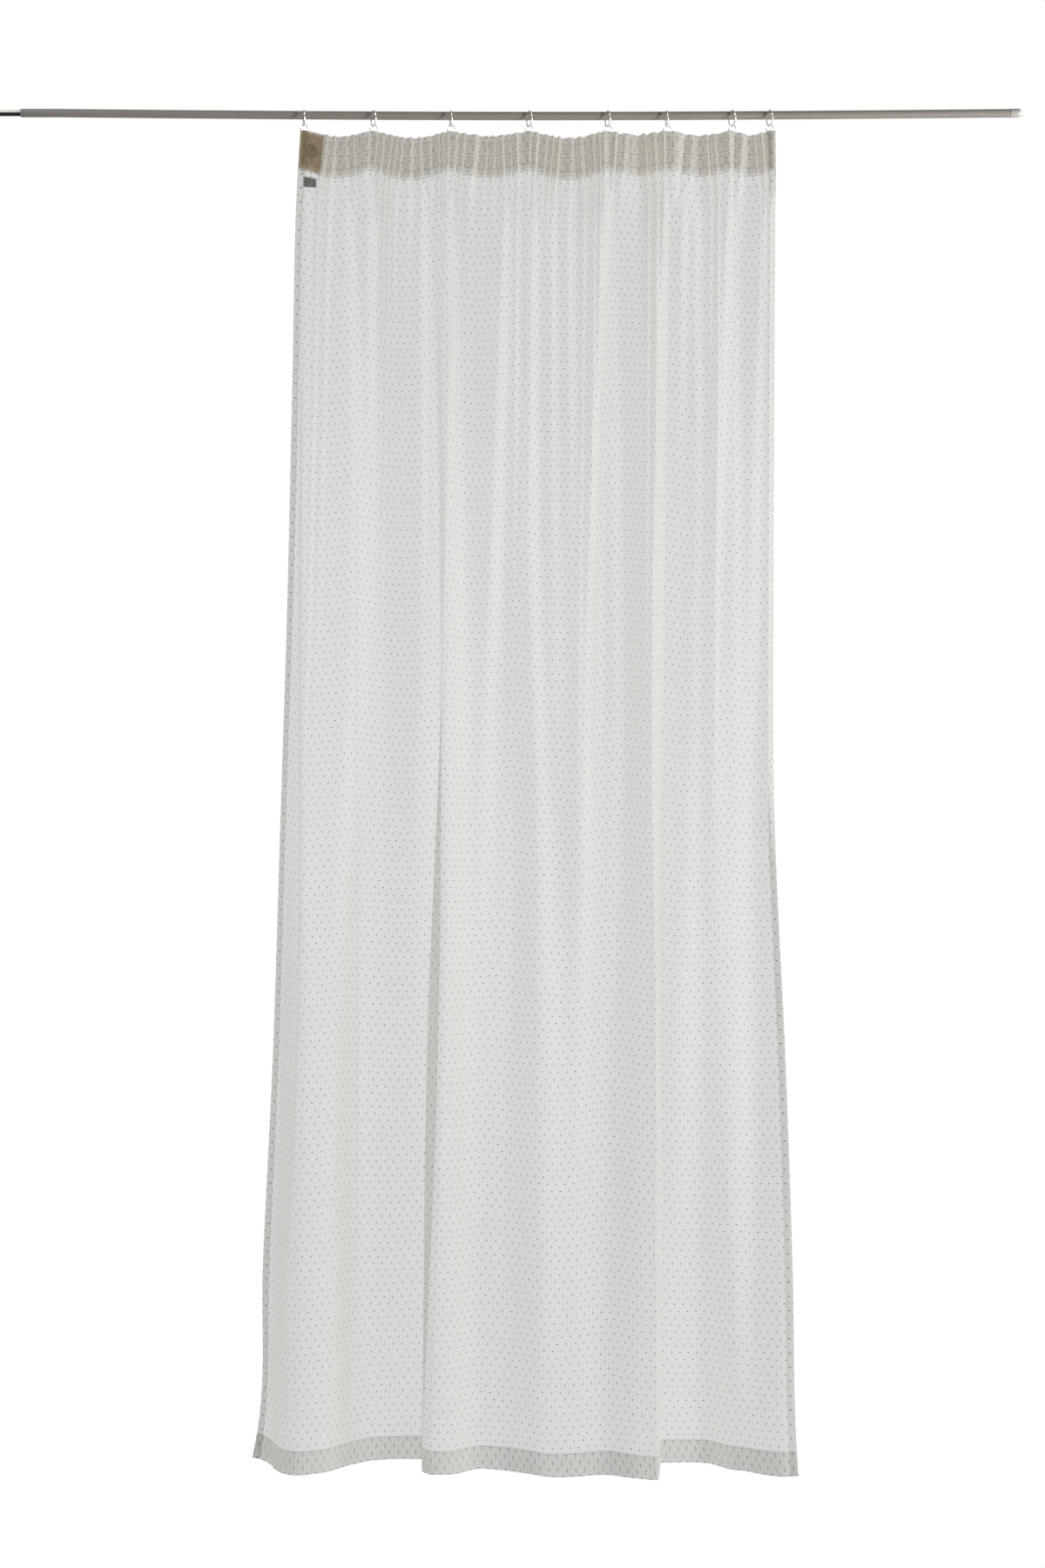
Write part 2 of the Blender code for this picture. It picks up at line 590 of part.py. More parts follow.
def main():
    clear_scene()
    voile = material("white_voile", (0.80, 0.80, 0.78), 0.9)
    tape = material("beige_tape", (0.55, 0.51, 0.44), 0.9)
    cord = material("cotton_cord", (0.50, 0.45, 0.36), 0.9)
    label = material("grey_label", (0.16, 0.155, 0.15), 0.8)
    painted = material("grey_painted_steel", (0.30, 0.28, 0.25), 0.35, 0.6)
    dark = material("dark_painted_steel", (0.06, 0.06, 0.06), 0.4, 0.5)
    steel = material("nickelled_wire", (0.42, 0.42, 0.41), 0.3, 1.0)

    voile_panel(voile)
    heading_tape(tape)
    cord_coil(cord)
    sewn_label(label)
    inner_end = INNER_TUBE_SHOWN + INNER_TUBE_IN_OUTER
    bar_along_x("rod_inner_tube", INNER_TUBE_DIAMETER, 0.0, inner_end, dark)
    outer_tube(painted)
    end_cap(painted)
    hanging_hardware(steel)


main()
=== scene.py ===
"""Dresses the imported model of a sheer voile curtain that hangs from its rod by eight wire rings.

Metres, +Z up. The origin is the centre of the rod's flat left end, +X runs along the rod and -Y
points into the room. Distances across the cloth are measured from the curtain's centre line, drops
from the top edge of its heading, and distances forward of the rod's axis towards the room. The
cloth repeats the tables that the CAD model is built from, and reads them more finely.
"""

import json
import logging
import math
from dataclasses import dataclass, field
from enum import Enum
from typing import Any

import bmesh
import bpy
import numpy as np
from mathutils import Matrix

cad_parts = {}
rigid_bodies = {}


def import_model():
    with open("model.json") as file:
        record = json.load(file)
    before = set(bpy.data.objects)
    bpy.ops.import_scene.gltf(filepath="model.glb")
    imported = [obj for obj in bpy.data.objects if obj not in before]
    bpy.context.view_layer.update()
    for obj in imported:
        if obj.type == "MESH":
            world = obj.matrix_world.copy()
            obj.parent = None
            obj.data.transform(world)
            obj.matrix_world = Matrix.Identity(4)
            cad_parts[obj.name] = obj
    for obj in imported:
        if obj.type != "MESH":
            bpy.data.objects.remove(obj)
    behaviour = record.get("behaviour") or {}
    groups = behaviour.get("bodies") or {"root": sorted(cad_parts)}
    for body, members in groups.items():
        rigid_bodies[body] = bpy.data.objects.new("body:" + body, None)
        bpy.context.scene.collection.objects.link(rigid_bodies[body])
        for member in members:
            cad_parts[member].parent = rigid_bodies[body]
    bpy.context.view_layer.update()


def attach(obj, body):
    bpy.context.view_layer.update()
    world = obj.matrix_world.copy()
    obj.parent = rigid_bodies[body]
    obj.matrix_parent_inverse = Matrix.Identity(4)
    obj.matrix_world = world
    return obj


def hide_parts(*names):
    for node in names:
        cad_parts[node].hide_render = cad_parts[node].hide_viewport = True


LOG = logging.getLogger("curtain")
BODY = "root"
PHOTO_HEIGHT = 1801
TAU = 2 * math.pi
FLAT_MAP = "metres"
# The wave texture repeats at this distance where its scale is 1
WAVE_PERIOD = TAU / 20

Grid = tuple[np.ndarray, np.ndarray, np.ndarray]
Point = tuple[float, float, float]
Table = tuple[tuple[float, float], ...]
FourHeights = tuple[float, float, float, float]
Settings = dict[str | int, Any]
Links = dict[str | int, bpy.types.NodeSocket]


# ---------------------------------------------------------------- helpers


def linear(code: str) -> tuple[float, float, float, float]:
    """Turns an sRGB hex colour into the linear colour that a shader takes.

    Args:
        code: Six hex digits after a hash sign.

    Returns:
        Red, green, blue and an alpha of 1.
    """
    parts = [int(code[i : i + 2], 16) / 255 for i in (1, 3, 5)]
    r, g, b = (p / 12.92 if p <= 0.04045 else ((p + 0.055) / 1.055) ** 2.4 for p in parts)
    return r, g, b, 1.0


def add_node(
    tree: bpy.types.NodeTree,
    kind: str,
    settings: Settings | None = None,
    links: Links | None = None,
    out: int | str = 0,
) -> bpy.types.NodeSocket:
    """Adds a node, gives it its settings and links its inputs.

    Args:
        tree: The node tree that gets the node.
        kind: The node's type, without the word ShaderNode before it.
        settings: Properties of the node, or values of its inputs by name or number, in order.
        links: Sockets to link into its inputs, by name or number.
        out: Which of its outputs is wanted.

    Returns:
        That output.
    """
    node = tree.nodes.new("ShaderNode" + kind)
    for name, value in (settings or {}).items():
        if isinstance(name, int) or (name in node.inputs and not hasattr(type(node), str(name))):
            node.inputs[name].default_value = value
        else:
            setattr(node, name, value)
    for name, socket in (links or {}).items():
        tree.links.new(socket, node.inputs[name])
    return node.outputs[out]


def new_material(name: str) -> tuple[bpy.types.Material, bpy.types.NodeTree, bpy.types.NodeSocket]:
    """Makes an empty material.

    Args:
        name: What the material is in real life.

    Returns:
        The material, its node tree and the surface socket of its output.
    """
    made = bpy.data.materials.new(name)
    made.use_nodes = True
    tree = made.node_tree
    tree.nodes.clear()
    output = tree.nodes.new("ShaderNodeOutputMaterial")
    return made, tree, output.inputs["Surface"]


def smooth_step(t: np.ndarray | float) -> np.ndarray:
    """0 before t = 0, 1 after t = 1, and a soft S between."""
    t = np.clip(t, 0.0, 1.0)
    return t * t * (3.0 - 2.0 * t)


def smooth_through(places: Any, values: Any, at: np.ndarray | float) -> np.ndarray:
    """Reads a smooth curve through values given at rising places.

    Args:
        places: Where the values are given, rising.
        values: The values there.
        at: Where to read the curve.

    Returns:
        The curve's value at each place of at.
    """
    places, values = np.asarray(places, float), np.asarray(values, float)
    slopes = np.gradient(values, places)
    at = np.clip(np.asarray(at, float), places[0], places[-1])
    i = np.clip(np.searchsorted(places, at) - 1, 0, len(places) - 2)
    span = places[i + 1] - places[i]
    t = (at - places[i]) / span
    rise, bend = t * t * (3 - 2 * t), t * (1 - t)
    return (
        values[i]
        + (values[i + 1] - values[i]) * rise
        + span * bend * (slopes[i] * (1 - t) - slopes[i + 1] * t)
    )


def read_table(rows: Table, at: float) -> float:
    """Reads a smooth curve through a table of rising places and their values."""
    return float(smooth_through([row[0] for row in rows], [row[1] for row in rows], at))


def rounded(values: np.ndarray, reach: float) -> np.ndarray:
    """Evens out a row of values with a bell-shaped window.

    Args:
        values: The row.
        reach: The window's reach, counted in values.

    Returns:
        The evened row, as long as it was.
    """
    if reach < 0.5:
        return values
    half = int(3 * reach)
    window = np.exp(-0.5 * (np.arange(-half, half + 1) / reach) ** 2)
    ends = np.concatenate([np.full(half, values[0]), values, np.full(half, values[-1])])
    return np.convolve(ends, window / window.sum(), mode="valid")


def mesh_from(
    name: str, points: np.ndarray, faces: np.ndarray | list, finish: bpy.types.Material
) -> bpy.types.Object:
    """Makes a smooth object from points and faces.

    Args:
        name: The piece's name.
        points: One row of x, y and z for each point.
        faces: Rows of point numbers.
        finish: The piece's material.

    Returns:
        The new object.
    """
    mesh = bpy.data.meshes.new(name)
    faces = faces.tolist() if isinstance(faces, np.ndarray) else faces
    mesh.from_pydata(np.asarray(points).tolist(), [], faces)
    mesh.shade_smooth()
    mesh.materials.append(finish)
    made = bpy.data.objects.new(name, mesh)
    bpy.context.scene.collection.objects.link(made)
    return made


def give_uv(made: bpy.types.Object, values: np.ndarray) -> None:
    """Gives an object the UV map that the textile finishes read.

    Args:
        made: The object.
        values: A pair of flat distances in metres for each of its points.
    """
    mesh = made.data
    corner_points = np.empty(len(mesh.loops), int)
    mesh.loops.foreach_get("vertex_index", corner_points)
    layer = mesh.uv_layers.new(name=FLAT_MAP)
    layer.uv.foreach_set("vector", values[corner_points].astype(np.float32).ravel())


def give_attribute(made: bpy.types.Object, name: str, values: np.ndarray) -> None:
    """Gives each point of an object a number under a name that a material can read."""
    layer = made.data.attributes.new(name, "FLOAT", "POINT")
    layer.data.foreach_set("value", values.astype(np.float32).ravel())


def grid_faces(rows: int, columns: int) -> np.ndarray:
    """Point numbers of the quads of a grid whose points are listed row by row from its top left."""
    first = (np.arange(rows - 1)[:, None] * columns + np.arange(columns - 1)).ravel()
    return np.stack([first, first + columns, first + columns + 1, first + 1], axis=1)


def flat_grid(u: np.ndarray, v: np.ndarray) -> np.ndarray:
    """Pairs of a place across and a place down, row by row from the top left."""
    return np.stack(np.broadcast_arrays(u, np.atleast_1d(v)[:, None]), axis=-1).reshape(-1, 2)


def sheet_from(
    name: str, points: np.ndarray, u: np.ndarray, v: np.ndarray, finish: bpy.types.Material
) -> bpy.types.Object:
    """Makes a thin sheet from a grid of points, with its flat places in its UV map.

    Args:
        name: The piece's name.
        points: The points, in rows from the top and each row from the left.
        u: Each column's flat distance across.
        v: Each row's flat distance down.
        finish: The piece's material.

    Returns:
        The new object.
    """
    made = mesh_from(name, points.reshape(-1, 3), grid_faces(len(v), len(u)), finish)
    give_uv(made, flat_grid(u, v))
    return made


def deselect_all() -> None:
    """Leaves nothing selected, so that an operator acts on the new piece alone."""
    if bpy.context.object and bpy.context.object.mode != "OBJECT":
        bpy.ops.object.mode_set(mode="OBJECT")
    bpy.ops.object.select_all(action="DESELECT")


def settle(
    made: bpy.types.Object,
    location: Point | None = None,
    rotation: Point | None = None,
    crease: float = math.radians(38),
) -> bpy.types.Object:
    """Moves a piece to its place, if one is given, and puts its object's place in its mesh.

    Args:
        made: The piece.
        location: Where its origin goes.
        rotation: Its turn about X, Y and Z.
        crease: The angle past which an edge stays sharp.

    Returns:
        The piece, with its object at the origin.
    """
    deselect_all()
    made.select_set(True)
    bpy.context.view_layer.objects.active = made
    if location is not None:
        made.location = location
    if rotation is not None:
        made.rotation_euler = rotation
    bpy.ops.object.transform_apply(location=True, rotation=True, scale=True)
    bpy.ops.object.shade_smooth_by_angle(angle=crease)
    return made


def tube_along(
    name: str, points: np.ndarray, radius: float, sides: int, finish: bpy.types.Material
) -> bpy.types.Object:
    """Makes a round cord or wire along a line, with its ends closed and its length in its UV map.

    Args:
        name: The piece's name.
        points: The line's points.
        radius: The cord's radius.
        sides: How many sides its cross-section has.
        finish: The piece's material.

    Returns:
        The new object.
    """
    points = np.asarray(points, float)
    ahead = np.gradient(points, axis=0)
    ahead /= np.linalg.norm(ahead, axis=1)[:, None]
    side = np.cross(ahead[0], (0.0, 0.0, 1.0))
    if np.linalg.norm(side) < 0.1:
        side = np.cross(ahead[0], (1.0, 0.0, 0.0))
    sides_here = []
    for direction in ahead:
        side = side - direction * side.dot(direction)
        side /= np.linalg.norm(side)
        sides_here.append(side)
    first = np.array(sides_here)
    second = np.cross(ahead, first)
    angles = np.linspace(0, TAU, sides, endpoint=False)
    rings = (
        points[:, None]
        + radius * np.cos(angles)[None, :, None] * first[:, None]
        + radius * np.sin(angles)[None, :, None] * second[:, None]
    )
    count = len(points)
    along = np.concatenate([[0.0], np.cumsum(np.linalg.norm(np.diff(points, axis=0), axis=1))])
    faces = []
    for i in range(count - 1):
        for j in range(sides):
            k = (j + 1) % sides
            faces.append((i * sides + j, i * sides + k, (i + 1) * sides + k, (i + 1) * sides + j))
    faces.append(tuple(range(sides - 1, -1, -1)))
    faces.append(tuple((count - 1) * sides + j for j in range(sides)))
    made = mesh_from(name, rings.reshape(-1, 3), faces, finish)
    give_uv(made, flat_grid(angles * radius, along))
    shape = bmesh.new()
    shape.from_mesh(made.data)
    bmesh.ops.recalc_face_normals(shape, faces=shape.faces)
    shape.to_mesh(made.data)
    shape.free()
    return made


def join(pieces: list[bpy.types.Object], name: str) -> bpy.types.Object:
    """Joins pieces into one object of a given name."""
    deselect_all()
    for piece in pieces:
        piece.select_set(True)
    bpy.context.view_layer.objects.active = pieces[0]
    bpy.ops.object.join()
    made = bpy.context.object
    made.name = made.data.name = name
    return made


def hang(made: bpy.types.Object, slot: str, *nodes: str) -> bpy.types.Object:
    """Puts a piece on the curtain's body and hides the CAD nodes it stands for.

    Args:
        made: The finished piece.
        slot: The record's material slot. Not used.
        nodes: The CAD nodes that the piece replaces.

    Returns:
        The piece.
    """
    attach(made, BODY)
    if nodes:
        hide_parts(*nodes)
    LOG.info("%s: %d faces", made.name, len(made.data.polygons))
    return made


# ---------------------------------------------------------------- finishes


@dataclass(frozen=True)
class VoileFinish:
    """Plain-woven cotton and polyester voile: thin spun threads with open gaps between them, so that
    it veils what is behind it. Uneven threads show as faint streaks down and across. Over the doubled
    tape the threads are tinted brown: painted warm light, for the light that comes through the tape."""

    thread: str = "#f1f0ec"
    shaded_thread: str = "#dedcd5"
    # Painted warm light: the brown tint laid on the threads over the doubled tape
    tape_glow_tint: str = "#dccdac"
    open_share: float = 0.60
    through_share: float = 0.40
    streak_across: float = 0.0016
    streak_length: float = 0.060
    streak_strength: float = 0.055
    thread_pitch: float = 0.0024
    bump_height: float = 0.00006

    def make(self) -> bpy.types.Material:
        """Builds the voile from gaps, threads that reflect and threads that let light through.

        Returns:
            The material.
        """
        made, tree, surface = new_material("woven voile, cotton and polyester")
        flat = add_node(tree, "UVMap", {"uv_map": FLAT_MAP})
        down = self.streaks(tree, flat, (1 / self.streak_across, 1 / self.streak_length, 1.0))
        over = self.streaks(tree, flat, (1 / self.streak_length, 1 / self.streak_across, 1.0))
        both = add_node(tree, "Math", {"operation": "ADD"}, {0: down, 1: over})
        thin, thick = 1 - self.streak_strength, 1 + self.streak_strength
        spread = {"From Min": 0.75, "From Max": 1.25, "To Min": thin, "To Max": thick}
        uneven = add_node(tree, "MapRange", spread, {"Value": both})
        steepness = add_node(tree, "Attribute", {"attribute_name": "steepness"}, out="Fac")
        path = add_node(tree, "Math", {"operation": "MULTIPLY"}, {0: steepness, 1: uneven})
        gaps = add_node(tree, "Math", {"operation": "POWER", 0: self.open_share}, {1: path})
        cover = add_node(tree, "Math", {"operation": "SUBTRACT", 0: 1.0}, {1: gaps})
        tones = {"data_type": "RGBA", 6: linear(self.shaded_thread), 7: linear(self.thread)}
        colour = add_node(tree, "Mix", tones, {0: down}, 2)
        # Over the doubled tape the threads are tinted brown: painted warm light from the tape behind them
        painted_glow_share = add_node(tree, "Attribute", {"attribute_name": "painted_glow_over_tape"}, out="Fac")
        tint = {"data_type": "RGBA", "blend_type": "MULTIPLY", 7: linear(self.tape_glow_tint)}
        colour = add_node(tree, "Mix", tint, {0: painted_glow_share, 6: colour}, 2)
        relief = {"Strength": 0.35, "Distance": self.bump_height}
        bump = add_node(tree, "Bump", relief, {"Height": self.weave(tree, flat)})
        spun = {"Roughness": 0.85, "Specular IOR Level": 0.25, "Sheen Weight": 0.15, "Sheen Roughness": 0.5}
        front = add_node(tree, "BsdfPrincipled", spun, {"Base Color": colour, "Normal": bump})
        through = add_node(tree, "BsdfTranslucent", {}, {"Color": colour})
        threads = add_node(tree, "MixShader", {0: self.through_share}, {1: front, 2: through})
        clear = add_node(tree, "BsdfTransparent")
        sheer = add_node(tree, "MixShader", {}, {0: cover, 1: clear, 2: threads})
        tree.links.new(sheer, surface)
        return made

    def streaks(
        self, tree: bpy.types.NodeTree, flat: bpy.types.NodeSocket, scale: Point
    ) -> bpy.types.NodeSocket:
        """Noise drawn out along the threads of one direction."""
        stretched = add_node(tree, "Mapping", {"Scale": scale}, {"Vector": flat})
        uneven = {"noise_dimensions": "2D", "Scale": 1.0, "Detail": 3.0, "Roughness": 0.6}
        return add_node(tree, "TexNoise", uneven, {"Vector": stretched}, "Fac")

    def weave(self, tree: bpy.types.NodeTree, flat: bpy.types.NodeSocket) -> bpy.types.NodeSocket:
        """Ribs of both thread directions. Real threads are 0.3 mm apart, which no pixel of the render
        would show, so the ribs are drawn eight times as coarse.

        Args:
            tree: The material's node tree.
            flat: The cloth's flat places.

        Returns:
            The weave's height.
        """
        rib = {"Scale": WAVE_PERIOD / self.thread_pitch,
               "Distortion": 1.5, "Detail": 1.0, "Detail Scale": 2.0}
        across, along = (
            add_node(tree, "TexWave", {"bands_direction": way, **rib}, {"Vector": flat}, "Fac")
            for way in ("X", "Y")
        )
        return add_node(tree, "Math", {"operation": "MULTIPLY"}, {0: across, 1: along})


@dataclass(frozen=True)
class TuftFinish:
    """Small tufts of thicker grey-beige spun yarn, woven in one by one, which block the light."""

    yarn: str = "#6a655c"
    dark_yarn: str = "#48433b"
    grain: float = 900.0

    def make(self) -> bpy.types.Material:
        """Builds the tuft's yarn with its fuzz and its uneven tone.

        Returns:
            The material.
        """
        made, tree, surface = new_material("spun tuft yarn")
        place = add_node(tree, "TexCoord", out="Object")
        fuzz = add_node(tree, "TexNoise", {"Scale": self.grain, "Detail": 2.0}, {"Vector": place}, "Fac")
        tones = {"data_type": "RGBA", 6: linear(self.dark_yarn), 7: linear(self.yarn)}
        colour = add_node(tree, "Mix", tones, {0: fuzz}, 2)
        bump = add_node(tree, "Bump", {"Strength": 0.5, "Distance": 0.0001}, {"Height": fuzz})
        spun = {"Roughness": 0.95, "Specular IOR Level": 0.2, "Sheen Weight": 0.2}
        yarn = add_node(tree, "BsdfPrincipled", spun, {"Base Color": colour, "Normal": bump})
        tree.links.new(yarn, surface)
        return made


class Lie(Enum):
    """Which way the ribs of a woven or twisted finish run in its UV map."""

    ALONG = "Y"
    TWISTED = "DIAGONAL"


@dataclass(frozen=True)
class RibbedFinish:
    """A ribbed textile: woven gathering tape, twisted cord, sewing thread or a woven label. Its ribs
    give fine shaded lines, and its yarn an uneven tone."""

    name: str
    light: str
    dark: str
    pitch: float
    lie: Lie
    rib_height: float
    open_share: float = 0.0
    through_share: float = 0.0
    roughness: float = 0.9
    sheen: float = 0.15

    def make(self) -> bpy.types.Material:
        """Builds the ribs, the uneven yarn and, for a thin weave, its gaps.

        Returns:
            The material.
        """
        made, tree, surface = new_material(self.name)
        flat = add_node(tree, "UVMap", {"uv_map": FLAT_MAP})
        rib = {"bands_direction": self.lie.value, "Scale": WAVE_PERIOD / self.pitch,
               "Distortion": 0.6, "Detail": 1.0, "Detail Scale": 3.0}
        ribs = add_node(tree, "TexWave", rib, {"Vector": flat}, "Fac")
        patchy = {"noise_dimensions": "2D", "Scale": 0.12 / self.pitch, "Detail": 4.0, "Roughness": 0.65}
        blotches = add_node(tree, "TexNoise", patchy, {"Vector": flat}, "Fac")
        tone = add_node(tree, "Math", {"operation": "MULTIPLY", 1: 0.45}, {0: ribs})
        both = {"operation": "MULTIPLY_ADD", "use_clamp": True, 1: 0.8}
        tone = add_node(tree, "Math", both, {0: blotches, 2: tone})
        tones = {"data_type": "RGBA", 6: linear(self.dark), 7: linear(self.light)}
        colour = add_node(tree, "Mix", tones, {0: tone}, 2)
        bump = add_node(tree, "Bump", {"Strength": 0.8, "Distance": self.rib_height}, {"Height": ribs})
        yarn = {"Roughness": self.roughness, "Specular IOR Level": 0.3,
                "Sheen Weight": self.sheen, "Sheen Roughness": 0.5}
        shown = add_node(tree, "BsdfPrincipled", yarn, {"Base Color": colour, "Normal": bump})
        if self.through_share:
            through = add_node(tree, "BsdfTranslucent", {}, {"Color": colour})
            shown = add_node(tree, "MixShader", {0: self.through_share}, {1: shown, 2: through})
        if self.open_share:
            clear = add_node(tree, "BsdfTransparent")
            shown = add_node(tree, "MixShader", {0: 1 - self.open_share}, {1: clear, 2: shown})
        tree.links.new(shown, surface)
        return made


@dataclass(frozen=True)
class MetalFinish:
    """Steel with a skin of paint or nickel: a mottled tone, and a fine grain that spreads its gloss.
    Below its axis the colour can be painted darker, as painted shade under the piece."""

    name: str
    light: str
    dark: str
    metallic: float
    roughness: float
    mottle: float
    grain: float
    grain_height: float = 0.00001
    # A darker colour painted below the axis, as painted shade
    painted_shade_below: str | None = None

    def make(self) -> bpy.types.Material:
        """Builds the skin with its mottle, its handling marks and its fine roughness.

        Returns:
            The material.
        """
        made, tree, surface = new_material(self.name)
        place = add_node(tree, "TexCoord", out="Object")
        mottled = {"Scale": 1 / self.mottle, "Detail": 5.0, "Roughness": 0.6}
        mottle = add_node(tree, "TexNoise", mottled, {"Vector": place}, "Fac")
        marked = {"Scale": 1 / self.grain, "Detail": 3.0, "Roughness": 0.7}
        marks = add_node(tree, "TexNoise", marked, {"Vector": place}, "Fac")
        tones = {"data_type": "RGBA", 6: linear(self.dark), 7: linear(self.light)}
        colour = add_node(tree, "Mix", tones, {0: mottle}, 2)
        # Painted shade: below the piece's axis the colour turns to the darker underside colour
        if self.painted_shade_below:
            height = add_node(tree, "SeparateXYZ", {}, {0: place}, "Z")
            upper = add_node(tree, "MapRange", {"From Min": -0.0006, "From Max": 0.0010}, {"Value": height})
            below = {"data_type": "RGBA", 6: linear(self.painted_shade_below)}
            colour = add_node(tree, "Mix", below, {0: upper, 7: colour}, 2)
        smooth, dull = self.roughness * 0.8, self.roughness * 1.2
        spread = {"From Min": 0.3, "From Max": 0.7, "To Min": smooth, "To Max": dull}
        rough = add_node(tree, "MapRange", spread, {"Value": marks})
        bump = add_node(tree, "Bump", {"Strength": 0.3, "Distance": self.grain_height}, {"Height": marks})
        looks = {"Base Color": colour, "Roughness": rough, "Normal": bump}
        skin = add_node(tree, "BsdfPrincipled", {"Metallic": self.metallic}, looks)
        tree.links.new(skin, surface)
        return made


# Real tape ribs are 1 mm apart; drawn three times as coarse, which is what the photo's pixels show
GATHERING_TAPE = RibbedFinish(
    "woven polyester gathering tape", "#ece1cc", "#c8b99c", 0.0032, Lie.ALONG, 0.0002, 0.58, 0.50
)
# The same tape where it is doubled, painted a darker brown: painted shade for the light that the doubled
# layers hold back
SHADED_DOUBLED_TAPE = RibbedFinish(
    "doubled gathering tape, painted shade", "#b08d50", "#8a6a34", 0.0032, Lie.ALONG, 0.0002, 0.20, 0.50
)
DRAW_CORD = RibbedFinish(
    "twisted polyester cord", "#a5956f", "#6e5f42", 0.0012, Lie.TWISTED, 0.0003
)
# The same cord painted darker where it lies coiled behind the tape: painted shade
SHADED_COILED_CORD = RibbedFinish(
    "twisted polyester cord, coiled, in painted shade", "#5c4a2a", "#382b15", 0.0012, Lie.TWISTED, 0.0003
)
SEWING_THREAD = RibbedFinish(
    "spun polyester thread", "#e2ded3", "#b9b3a4", 0.0008, Lie.TWISTED, 0.0001
)
WOVEN_LABEL = RibbedFinish(
    "woven satin label", "#3a3734", "#211e1b", 0.0007, Lie.ALONG, 0.0001, roughness=0.6, sheen=0.3
)
LABEL_FOLD = RibbedFinish(
    "folded end of the woven label", "#2a221b", "#17110c", 0.0007, Lie.ALONG, 0.0001, roughness=0.7
)
# Sprayed satin paint on a steel tube: an even warm grey with a soft broad highlight
TUBE_PAINT = MetalFinish(
    "satin painted steel tube", "#65615a", "#5e5a53", 0.0, 0.60, 0.12, 0.0015
)
CAP_PAINT = MetalFinish("satin painted end cap", "#7f7c76", "#76736d", 0.0, 0.55, 0.05, 0.0015)
# Bare steel tube, pale above its axis and near black below it: the dark underside is painted shade, and the
# split stands for light falling from above
INNER_STEEL_PAINTED_SHADE = MetalFinish(
    "steel tube, pale above, painted shade below", "#d0cbc4", "#b9b3ab", 0.35, 0.32, 0.02, 0.0012,
    painted_shade_below="#1c1311",
)
# Drawn wire with a nickel skin: bright, slightly warm, with a fine grain
NICKELLED_WIRE = MetalFinish("nickelled steel wire", "#ebe8e2", "#d5d1c9", 1.0, 0.22, 0.006, 0.0006)


# ---------------------------------------------------------------- the rod's line


# The end cap's nose, cut away above and drawn up a little below: distance from its tip, and how far
# its top and bottom lie above the rod's axis
CAP_NOSE = (
    (0.0160, 0.00825, -0.00825),
    (0.0110, 0.0082, -0.0078),
    (0.0080, 0.0078, -0.0070),
    (0.0062, 0.0062, -0.0063),
    (0.0042, 0.0036, -0.0054),
    (0.0022, 0.0008, -0.0044),
    (0.0006, -0.0012, -0.0034),
)


